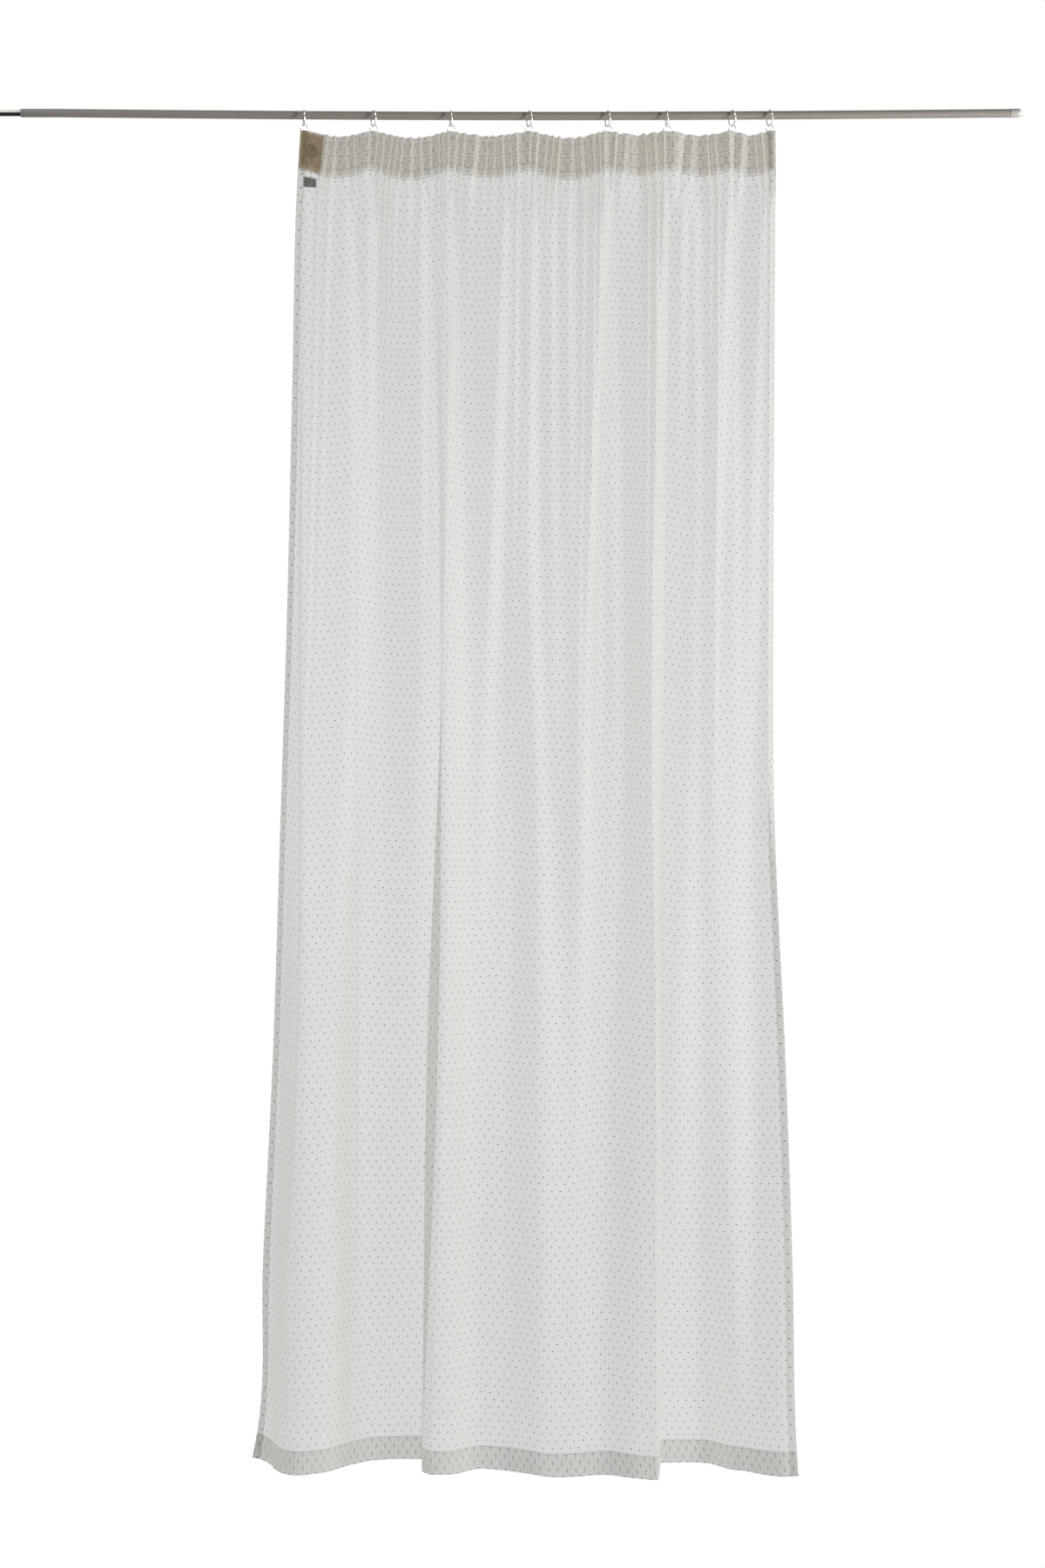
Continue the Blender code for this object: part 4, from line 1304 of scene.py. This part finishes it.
    def at(self, u: np.ndarray, v: np.ndarray) -> np.ndarray:
        """Points in space, one row each, of places on the flat cloth."""
        u, v = np.broadcast_arrays(np.asarray(u, float), np.asarray(v, float))
        return np.stack([self.read(values, u, v) for values in self.grid], axis=-1)


# A tuft or stitch has six points round its rim and one in its middle
MARK_POINTS = 7


def marks_on(
    name: str,
    cloth: HungCloth,
    places: np.ndarray,
    size: tuple[float, float],
    lift: float,
    slant: np.ndarray,
    finish: bpy.types.Material,
) -> bpy.types.Object:
    """Makes one mesh of small raised marks, such as tufts or stitches, that lie on the cloth.

    Args:
        name: The piece's name.
        cloth: The cloth that they lie on.
        places: Rows of distance from the left, distance down and distance behind the cloth.
        size: Length and width of a mark.
        lift: How far a mark's middle stands above its rim, towards the room.
        slant: Each mark's turn on the flat cloth, from lying across.
        finish: The marks' material.

    Returns:
        The joined mesh.
    """
    long, wide = size[0] / 2, size[1] / 2
    shoulder = long * 0.45
    rim = np.array([(-long, 0), (-shoulder, -wide), (shoulder, -wide), (long, 0),
                    (shoulder, wide), (-shoulder, wide), (0.0, 0.0)])
    c, s = np.cos(slant)[:, None], np.sin(slant)[:, None]
    u = places[:, 0:1] + rim[:, 0] * c - rim[:, 1] * s
    v = places[:, 1:2] - rim[:, 0] * s - rim[:, 1] * c
    points = cloth.at(np.clip(u, 0, cloth.flat_width), np.clip(v, 0, cloth.flat_length))
    points[..., 1] += places[:, 2:3]
    middle = MARK_POINTS - 1
    points[:, middle, 1] -= lift
    first = np.arange(len(places))[:, None, None] * MARK_POINTS
    petals = np.array([(middle, i, (i + 1) % middle) for i in range(middle)])
    faces = (first + petals[None]).reshape(-1, 3)
    return mesh_from(name, points.reshape(-1, 3), faces, finish)


@dataclass
class VoilePanel:
    """The dotted voile with its turned hems, its tufts and its stitching."""

    cloth: HungCloth
    side_hem: float = 0.015
    bottom_hem: float = 0.045
    layer_gap: float = 0.0005
    edge_turn: float = 0.0012
    side_columns: tuple[float, ...] = (0.004, 0.009)
    hem_rows: tuple[float, ...] = (0.010, 0.022, 0.034)
    doubled_across: float = 0.045
    doubled_down: float = 0.0715
    doubled_fades: tuple[float, float] = (0.006, 0.003)
    dot_pitch: float = 0.0172
    dot_row: float = 0.01295
    first_dot: float = 0.3
    dot_size: tuple[float, float] = (0.0031, 0.0017)
    dot_slant: float = math.radians(28)
    dot_slant_spread: float = 0.15
    dot_place_spread: float = 0.00035
    dot_lift: float = 0.00025
    dot_before_front: float = 0.00012
    dot_before_hem: float = 0.00018
    stitch_pitch: float = 0.0034
    stitch_size: tuple[float, float] = (0.0027, 0.0005)
    stitch_lift: float = 0.0001
    heading_seams: tuple[float, ...] = (0.0045, 0.0600, 0.0725)
    seam_in_hem: float = 0.0025
    seam_in_side: float = 0.0020
    seam_ends: tuple[float, float] = (0.004, 0.006)
    seed: int = 5

    def folded(self, flat: np.ndarray, whole: float) -> tuple[np.ndarray, np.ndarray]:
        """Folds the part of a flat length that is past either end back over it.

        Args:
            flat: Places along the cut cloth, from 0 at one finished edge to whole at the other.
            whole: The finished length.

        Returns:
            Places on the finished cloth, and how far round each edge's turn they are, from 0 to 1.
        """
        past = np.maximum(-flat, flat - whole)
        place = np.where(flat < 0, -flat, np.where(flat > whole, 2 * whole - flat, flat))
        return place, smooth_step(past / self.edge_turn * 0.5 + 0.5)

    def panel(self) -> bpy.types.Object:
        """Lays out the whole cut cloth as one sheet, folded over at its four edges.

        Returns:
            The sheet.
        """
        cloth = self.cloth
        side = np.array([self.edge_turn, *self.side_columns, self.side_hem])
        across = np.concatenate([-side[::-1], cloth.from_left, cloth.flat_width + side])
        hem = np.array([self.edge_turn, *self.hem_rows, self.bottom_hem])
        heading = np.array([self.edge_turn, *cloth.drops[2:9]])
        down = np.concatenate([-heading[::-1], cloth.drops, cloth.flat_length + hem])
        u, side_turn = self.folded(across, cloth.flat_width)
        v, end_turn = self.folded(down, cloth.flat_length)
        points = cloth.at(u[None, :], v[:, None])
        points[..., 1] += self.layer_gap * (side_turn[None, :] + 2 * end_turn[:, None])
        made = sheet_from("voile_cloth", points, across, down, VoileFinish().make())
        steepness = cloth.read(cloth.steepness, *np.broadcast_arrays(u[None, :], v[:, None]))
        give_attribute(made, "steepness", steepness)
        # Where the tape is doubled behind it, the voile is marked for its painted warm light
        fade_across, fade_down = self.doubled_fades
        doubled = smooth_step((self.doubled_across - across) / fade_across)[None, :]
        doubled = doubled * smooth_step((self.doubled_down - v) / fade_down)[:, None]
        give_attribute(made, "painted_glow_over_tape", doubled)
        return hang(made, "voile", "voile_panel")

    def dots(self) -> bpy.types.Object:
        """Strews the tufts in their half-drop rows, on the hems' turned layers too.

        Returns:
            The tufts as one mesh.
        """
        cloth = self.cloth
        random = np.random.default_rng(self.seed)
        rows = np.arange(-cloth.heading_depth, cloth.flat_length + self.bottom_hem, self.dot_row)
        places = []
        for number, drop in enumerate(rows):
            start = -self.side_hem + self.dot_pitch * (self.first_dot + 0.5 * (number % 2))
            row = np.arange(start, cloth.flat_width + self.side_hem, self.dot_pitch)
            places += [(place, drop) for place in row]
        flat = np.array(places) + random.normal(0.0, self.dot_place_spread, (len(places), 2))
        u, side_turn = self.folded(flat[:, 0], cloth.flat_width)
        v, end_turn = self.folded(flat[:, 1], cloth.flat_length)
        front = (side_turn < 0.5) & (end_turn < 0.5)
        behind = self.layer_gap * (side_turn + 2 * end_turn)
        behind -= np.where(front, self.dot_before_front, self.dot_before_hem)
        leaning = self.dot_slant + random.normal(0, self.dot_slant_spread, len(flat))
        places = np.stack([u, v, behind], axis=1)
        marks = marks_on("voile_dots", cloth, places, self.dot_size, self.dot_lift,
                         np.where(front, leaning, -leaning), TuftFinish().make())
        return hang(marks, "voile")

    def stitches(self) -> bpy.types.Object:
        """Sews the rows of stitches that hold the hems and the tape.

        Returns:
            The stitches as one mesh.
        """
        length, width = self.cloth.flat_length, self.cloth.flat_width
        end_across, end_down = self.seam_ends
        across = np.arange(end_across, width - end_across, self.stitch_pitch)
        down = np.arange(end_down, length - end_down, self.stitch_pitch)
        drops = (*self.heading_seams, length - self.bottom_hem + self.seam_in_hem)
        inset = self.side_hem - self.seam_in_side
        lines = [(across, np.full_like(across, drop), 0.0) for drop in drops]
        lines += [(np.full_like(down, place), down, math.pi / 2) for place in (inset, width - inset)]
        u, v = (np.concatenate([line[k] for line in lines]) for k in (0, 1))
        slant = np.concatenate([np.full_like(line[0], line[2]) for line in lines])
        places = np.stack([u, v, np.full_like(u, -self.stitch_lift)], axis=1)
        made = marks_on("hem_stitches", self.cloth, places, self.stitch_size, self.stitch_lift, slant,
                        SEWING_THREAD.make())
        give_uv(made, np.repeat(places[:, :2], MARK_POINTS, axis=0))
        return hang(made, "voile")

    def build(self) -> None:
        panel, marks = self.panel(), [self.dots(), self.stitches()]


@dataclass
class HeadingTape:
    """The woven gathering tape with its draw cords and its rows of hook pockets."""

    cloth: HungCloth
    depth: float = 0.066
    top_inset: float = 0.002
    end_inset: float = 0.003
    behind: float = 0.0019
    layer_gap: float = 0.0003
    rows: int = 15
    cord_drops: tuple[float, ...] = (0.010, 0.033, 0.056)
    cord_diameter: float = 0.0011
    cord_inset: float = 0.006
    cord_points: int = 500
    cord_sides: int = 6
    pocket_pitch: float = 0.0135
    pocket_width: float = 0.0075
    pocket_height: float = 0.012
    pocket_rise: float = 0.0008
    pocket_drops: tuple[float, ...] = (0.015, 0.039)
    pockets_from_left: float = 0.020
    pockets_from_right: float = 0.015
    pocket_columns: int = 5
    pocket_rows: int = 4
    left_end: float = 0.038
    left_end_rise: float = 0.0064
    right_end: float = 0.016
    right_end_rise: float = 0.0009
    end_columns: int = 25
    end_turn: float = 0.22
    end_below_top: float = 0.0004
    end_past_tape: float = 0.003

    def band(self, finish: bpy.types.Material) -> bpy.types.Object:
        """Builds the tape itself, a fine sheet on the gathers.

        Args:
            finish: The tape's material.

        Returns:
            The tape.
        """
        cloth = self.cloth
        left, right = self.end_inset, cloth.flat_width - self.end_inset
        inside = cloth.from_left[(cloth.from_left > left) & (cloth.from_left < right)]
        u = np.concatenate([[left], inside, [right]])
        v = np.linspace(self.top_inset, self.top_inset + self.depth, self.rows)
        points = cloth.at(u[None, :], v[:, None])
        points[..., 1] += self.behind
        return hang(sheet_from("tape_cloth", points, u, v, finish), "tape", "heading_tape")

    def cords(self) -> bpy.types.Object:
        """Lays the draw cords along the tape's back.

        Returns:
            The cords as one mesh.
        """
        u = np.linspace(self.cord_inset, self.cloth.flat_width - self.cord_inset, self.cord_points)
        finish, made = DRAW_CORD.make(), []
        for drop in self.cord_drops:
            line = self.cloth.at(u, self.top_inset + drop)
            line[:, 1] += self.behind + self.cord_diameter * 0.8
            made.append(tube_along("cord", line, self.cord_diameter / 2, self.cord_sides, finish))
        return hang(join(made, "tape_cords"), "cord")

    def pockets(self, finish: bpy.types.Material) -> bpy.types.Object:
        """Builds the woven pockets for hooks, each a little arch that stands off the tape's back.

        Args:
            finish: The tape's material.

        Returns:
            The pockets as one mesh.
        """
        s, t = np.linspace(-0.5, 0.5, self.pocket_columns), np.linspace(0.0, 1.0, self.pocket_rows)
        quads = grid_faces(self.pocket_rows, self.pocket_columns)
        last = self.cloth.flat_width - self.pockets_from_right
        points, faces, flat = [], [], []
        for drop in self.pocket_drops:
            for middle in np.arange(self.pockets_from_left, last, self.pocket_pitch):
                u = middle + s * self.pocket_width
                v = self.top_inset + drop + t * self.pocket_height
                arch = self.cloth.at(u[None, :], v[:, None])
                arch[..., 1] += self.behind + self.layer_gap + self.pocket_rise * np.cos(math.pi * s)
                faces.append(quads + len(points) * len(s) * len(t))
                points.append(arch.reshape(-1, 3))
                flat.append(flat_grid(u, v))
        made = mesh_from("tape_pockets", np.concatenate(points), np.concatenate(faces), finish)
        give_uv(made, np.concatenate(flat))
        return hang(made, "tape")

    def turned_end(
        self, name: str, start: float, end: float, rise: float, finish: bpy.types.Material
    ) -> bpy.types.Object:
        """Builds an end of the tape that is turned back behind it, on the left over the wound cord.

        Args:
            name: The piece's name.
            start: Where the turn is, as a distance from the cloth's left edge.
            end: Where the turned piece ends.
            rise: How far behind the tape it stands.
            finish: The tape's material.

        Returns:
            The turned end.
        """
        share = np.linspace(0.0, 1.0, self.end_columns)
        u = start + (end - start) * share
        top, bottom = self.top_inset + self.end_below_top, self.top_inset + self.depth + self.end_past_tape
        v = np.linspace(top, bottom, self.rows)
        points = self.cloth.at(u[None, :], v[:, None])
        points[..., 1] += self.behind + self.layer_gap + rise * smooth_step(share / self.end_turn)
        return hang(sheet_from(name, points, u, v, finish), "tape")

    def build(self) -> None:
        finish = GATHERING_TAPE.make()
        band = self.band(finish)
        left, right = self.end_inset, self.cloth.flat_width - self.end_inset
        ends = [
            # The left end's turned-back tape takes the darker copy of the tape colour: painted shade
            self.turned_end("tape_left_end", left, left + self.left_end, self.left_end_rise,
                            SHADED_DOUBLED_TAPE.make()),
            self.turned_end("tape_right_end", right, right - self.right_end, self.right_end_rise, finish),
        ]
        woven = [self.cords(), self.pockets(finish), *ends]


@dataclass
class WoundCord:
    """The surplus draw cord, wound into a flat oval coil and tied over its middle."""

    cloth: HungCloth
    width: float = 0.0245
    height: float = 0.030
    cord: float = 0.00125
    across_count: int = 4
    layers: int = 3
    pitch: float = 0.00135
    tie_turns: int = 3
    tie_pitch: float = 0.0017
    tie_clear: float = 0.0006
    tie_rise: float = 0.0009
    across: float = -0.3930
    drop: float = 0.034
    behind: float = 0.0054
    reads_either_side: float = 0.011
    points_a_turn: int = 30
    points_a_tie: int = 26
    evened_over: int = 7
    sides: int = 7

    def line(self) -> np.ndarray:
        """Winds the cord's line in the coil's own plane, and then its tie over the middle.

        Returns:
            Rows of place across, place up and distance behind the coil's middle.
        """
        turns = []
        a = np.linspace(0, TAU, self.points_a_turn, endpoint=False)
        for layer in range(self.layers):
            outward = range(self.across_count)
            depth = (layer - (self.layers - 1) / 2) * self.pitch
            for ring in outward if layer % 2 == 0 else reversed(outward):
                inward = self.cord / 2 + ring * self.pitch
                turns.append(np.stack([(self.width / 2 - inward) * np.cos(a),
                                       (self.height / 2 - inward) * np.sin(a),
                                       np.full_like(a, depth)], axis=1))
        wound = np.concatenate(turns)
        window, half = np.ones(self.evened_over) / self.evened_over, self.evened_over // 2
        for k in range(3):
            wound[half:-half, k] = np.convolve(wound[:, k], window, mode="valid")
        reach = self.height / 2 + self.tie_clear
        rise = self.layers * self.pitch / 2 + self.tie_rise
        a = np.linspace(0, TAU, self.points_a_tie, endpoint=False)
        ties = [np.stack([(number - 1) * self.tie_pitch + self.tie_pitch * a / TAU,
                          reach * np.cos(a), rise * np.sin(a)], axis=1)
                for number in range(self.tie_turns)]
        return np.concatenate([wound, *ties])

    def build(self) -> None:
        """Winds the cord behind the tape at the heading's plain end."""
        cloth = self.cloth
        lapped, _, along = cloth.section(cloth.heading_depth)
        u = float(np.interp(self.across, cloth.fitted(lapped, self.drop), along))
        u *= cloth.flat_width / along[-1]
        centre = cloth.at(u, self.drop)
        edges = cloth.at(np.array([u - self.reads_either_side, u + self.reads_either_side]), self.drop)
        turn = math.atan2(edges[1, 1] - edges[0, 1], edges[1, 0] - edges[0, 0])
        own = self.line()
        back = self.behind + own[:, 2]
        points = centre + np.stack([own[:, 0] * math.cos(turn) - back * math.sin(turn),
                                    own[:, 0] * math.sin(turn) + back * math.cos(turn),
                                    own[:, 1]], axis=1)
        # The coil's cord takes the darker copy of the cord colour: painted shade
        made = tube_along("wound_cord", points, self.cord / 2, self.sides, SHADED_COILED_CORD.make())
        LOG.info("wound cord: %.2f m", float(np.linalg.norm(np.diff(points, axis=0), axis=1).sum()))
        hang(made, "cord", "gathering_cord_coil")


@dataclass
class SewnLabel:
    """The blank woven label under the heading's left end, with its folded end and its curl."""

    cloth: HungCloth
    width: float = 0.0245
    height: float = 0.019
    fold: float = 0.0050
    fold_lift: float = 0.0005
    across: float = -0.4065
    drop: float = 0.0815
    behind: float = 0.0027
    curl: float = 0.004
    bow: float = 0.0006
    shortening: float = 0.14
    slope: float = math.radians(7)
    columns: int = 16
    rows: int = 9

    def strip(self, name: str, end: float, lift: float, finish: bpy.types.Material) -> bpy.types.Object:
        """Builds a stretch of the label from its sewn end.

        Args:
            name: The piece's name.
            end: How far from its sewn end it reaches.
            lift: How far in front of the label's place it lies.
            finish: The label's material.

        Returns:
            The stretch, as a sheet.
        """
        cloth = self.cloth
        edge = float(cloth.at(np.array(0.0), np.array(self.drop))[0])
        u = self.across + cloth.centre_x - edge
        along = np.linspace(0.0, end, self.columns)
        down = np.linspace(0.0, self.height, self.rows)[:, None]
        share = along / self.width
        base = cloth.at(u + along, self.drop)
        bow = self.bow * np.sin(math.pi * down / self.height) * smooth_step(share)
        y = base[:, 1] + self.behind - lift + self.curl * share**3 + bow
        level = float(cloth.at(np.array(u + self.width / 2), np.array(self.drop))[2])
        z = level - along * math.sin(self.slope) - down * (1 - self.shortening * share**2)
        points = np.stack([np.broadcast_to(base[:, 0], y.shape), y, z], axis=-1)
        return sheet_from(name, points, along, down[:, 0], finish)

    def build(self) -> None:
        label = self.strip("label_cloth", self.width, 0.0, WOVEN_LABEL.make())
        fold = self.strip("label_fold", self.fold, self.fold_lift, LABEL_FOLD.make())
        hang(label, "label", "sewn_label")
        hang(fold, "label")


# ---------------------------------------------------------------- studio


@dataclass(frozen=True)
class Lamp:
    """A square soft light: where it is, where it aims, its size in metres and its power in watts. One
    that casts no shadows stands for light that comes from all round that side."""

    name: str
    place: Point
    aim: Point
    size: float
    power: float
    shadows: bool = True
    rod_only: bool = False


LAMPS = (
    Lamp("key", (4.95, -1.15, -0.90), (0.96, 0.0, -1.15), 0.80, 46.0),
    Lamp("bounce", (4.90, -1.35, -1.00), (0.96, 0.0, -1.15), 1.60, 62.0, shadows=False),
    Lamp("rod_side", (6.20, -2.10, -0.80), (0.90, 0.0, -0.01), 0.30, 590.0, rod_only=True),
    Lamp("rod_low", (3.60, -1.50, -2.40), (0.90, 0.0, -0.01), 0.60, 78.0, shadows=False, rod_only=True),
    Lamp("rod_top", (-0.90, -0.80, 1.30), (0.10, 0.0, -0.01), 0.50, 30.0, shadows=False, rod_only=True),
)
LIT_BY_ROD_LAMPS = ("outer_tube", "inner_tube", "end_cap", "ring_wire", "eye_wire")


@dataclass
class Studio:
    """A pale floor, a bright backdrop, soft light from the right and the photograph's camera."""

    camera_place: Point = (0.9914, -4.700, -1.1346)
    focal_pixels: float = 2900.0
    horizon_row: float = 830.0
    sensor: float = 36.0
    floor_z: float = -2.720
    floor_radius: float = 1.05
    floor_centre: tuple[float, float] = (0.960, -0.42)
    seen_level: float = 0.88
    seen_low: float = 0.83
    seen_high: float = 0.82
    front_light: float = 0.40
    back_light: float = 0.78
    from_below: float = 1.00
    from_above: float = 0.80

    def camera(self) -> None:
        """The camera where the photograph was taken from."""
        data = bpy.data.cameras.new("camera")
        data.sensor_width = self.sensor
        data.lens = self.focal_pixels * self.sensor / PHOTO_HEIGHT
        data.shift_y = -(PHOTO_HEIGHT / 2 - self.horizon_row) / PHOTO_HEIGHT
        made = bpy.data.objects.new("camera", data)
        made.location = self.camera_place
        made.rotation_euler = (math.pi / 2, 0, 0)
        bpy.context.scene.collection.objects.link(made)
        bpy.context.scene.camera = made

    def veiled(self, tree: bpy.types.NodeTree) -> bpy.types.NodeSocket:
        """1 where the camera looks through the cloth, and 0 where nothing sheer is before it."""
        layers = add_node(tree, "LightPath", out="Transparent Depth")
        return add_node(tree, "Math", {"operation": "GREATER_THAN", 1: 0.5}, {0: layers})

    def world(self) -> None:
        """White where the camera sees the backdrop, light grey behind the cloth as in the studio, and
        for the light itself brighter behind the curtain than in front of it."""
        world = bpy.data.worlds.new("studio")
        bpy.context.scene.world = world
        world.use_nodes = True
        tree = world.node_tree
        tree.nodes.clear()
        output = tree.nodes.new("ShaderNodeOutputWorld")
        direction = add_node(tree, "TexCoord", out="Generated")
        y, z = (add_node(tree, "SeparateXYZ", {}, {0: direction}, axis) for axis in ("Y", "Z"))
        ramps = (
            ("SMOOTHSTEP", y, -0.25, 0.35, self.front_light, self.back_light),
            ("LINEAR", z, -0.50, 0.50, self.from_below, self.from_above),
            ("SMOOTHSTEP", z, -0.29, -0.02, self.seen_low - self.seen_level, 0.0),
            ("SMOOTHSTEP", z, 0.05, 0.24, self.seen_level, self.seen_high),
        )
        depth, height, below, above = (
            add_node(tree, "MapRange", {"interpolation_type": kind, "From Min": first, "From Max": last,
                                        "To Min": low, "To Max": high}, {"Value": way})
            for kind, way, first, last, low, high in ramps
        )
        strength = add_node(tree, "Math", {"operation": "MULTIPLY"}, {0: depth, 1: height})
        grey = add_node(tree, "Math", {"operation": "ADD"}, {0: below, 1: above})
        seen = add_node(tree, "Mix", {"data_type": "FLOAT", 2: 1.0}, {0: self.veiled(tree), 3: grey})
        white = {"Color": (1.0, 1.0, 1.0, 1.0)}
        light = add_node(tree, "Background", white, {"Strength": strength})
        backdrop = add_node(tree, "Background", white, {"Strength": seen})
        looked_at = add_node(tree, "LightPath", out="Is Camera Ray")
        mixed = add_node(tree, "MixShader", {}, {0: looked_at, 1: light, 2: backdrop})
        tree.links.new(mixed, output.inputs["Surface"])

    def floor(self) -> None:
        """A plain pale floor under the curtain, as grey as the backdrop where the cloth is before it."""
        deselect_all()
        bpy.ops.mesh.primitive_circle_add(
            vertices=96, radius=self.floor_radius, fill_type="NGON",
            location=(*self.floor_centre, self.floor_z))
        made = bpy.context.object
        made.name = "pale_floor"
        finish, tree, surface = new_material("pale studio floor")
        pale = {"Base Color": linear("#f4f4f2"), "Roughness": 0.9,
                "Emission Color": (1.0, 1.0, 1.0, 1.0), "Emission Strength": 0.75}
        open_floor = add_node(tree, "BsdfPrincipled", pale)
        behind = add_node(tree, "Emission", {"Strength": self.seen_low})
        shown = add_node(tree, "MixShader", {}, {0: self.veiled(tree), 1: open_floor, 2: behind})
        tree.links.new(shown, surface)
        made.data.materials.append(finish)
        made.visible_diffuse = False

    def light(self, lamp: Lamp, rod_pieces: bpy.types.Collection) -> None:
        """Sets up one soft light, turned to its aim.

        Args:
            lamp: The light.
            rod_pieces: What a light that is for the rod alone falls on.
        """
        data = bpy.data.lights.new(lamp.name, "AREA")
        data.shape = "SQUARE"
        data.size = lamp.size
        data.energy = lamp.power
        data.use_shadow = lamp.shadows
        made = bpy.data.objects.new(lamp.name, data)
        made.location = lamp.place
        x, y, z = np.subtract(lamp.aim, lamp.place)
        made.rotation_euler = (math.pi / 2 + math.atan2(z, math.hypot(x, y)), 0, math.atan2(-x, y))
        bpy.context.scene.collection.objects.link(made)
        if lamp.rod_only:
            made.light_linking.receiver_collection = rod_pieces

    def build(self) -> None:
        """Sets up the whole studio round the rod, which is there already."""
        self.camera()
        self.world()
        self.floor()
        rod_pieces = bpy.data.collections.new("rod_and_rings")
        for made in bpy.data.objects:
            if made.name.startswith(LIT_BY_ROD_LAMPS):
                rod_pieces.objects.link(made)
        for lamp in LAMPS:
            self.light(lamp, rod_pieces)
        bpy.context.scene.view_settings.view_transform = "Standard"


def main() -> None:
    """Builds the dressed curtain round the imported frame."""
    logging.basicConfig(level=logging.INFO, format="%(message)s")
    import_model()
    rod = Rod()
    rod.build()
    HangingSet(rod).build()
    Studio().build()
    cloth = HungCloth(rod)
    for sewn in (HeadingTape, VoilePanel, WoundCord, SewnLabel):
        sewn(cloth).build()
    deselect_all()


if __name__ == "__main__":
    main()
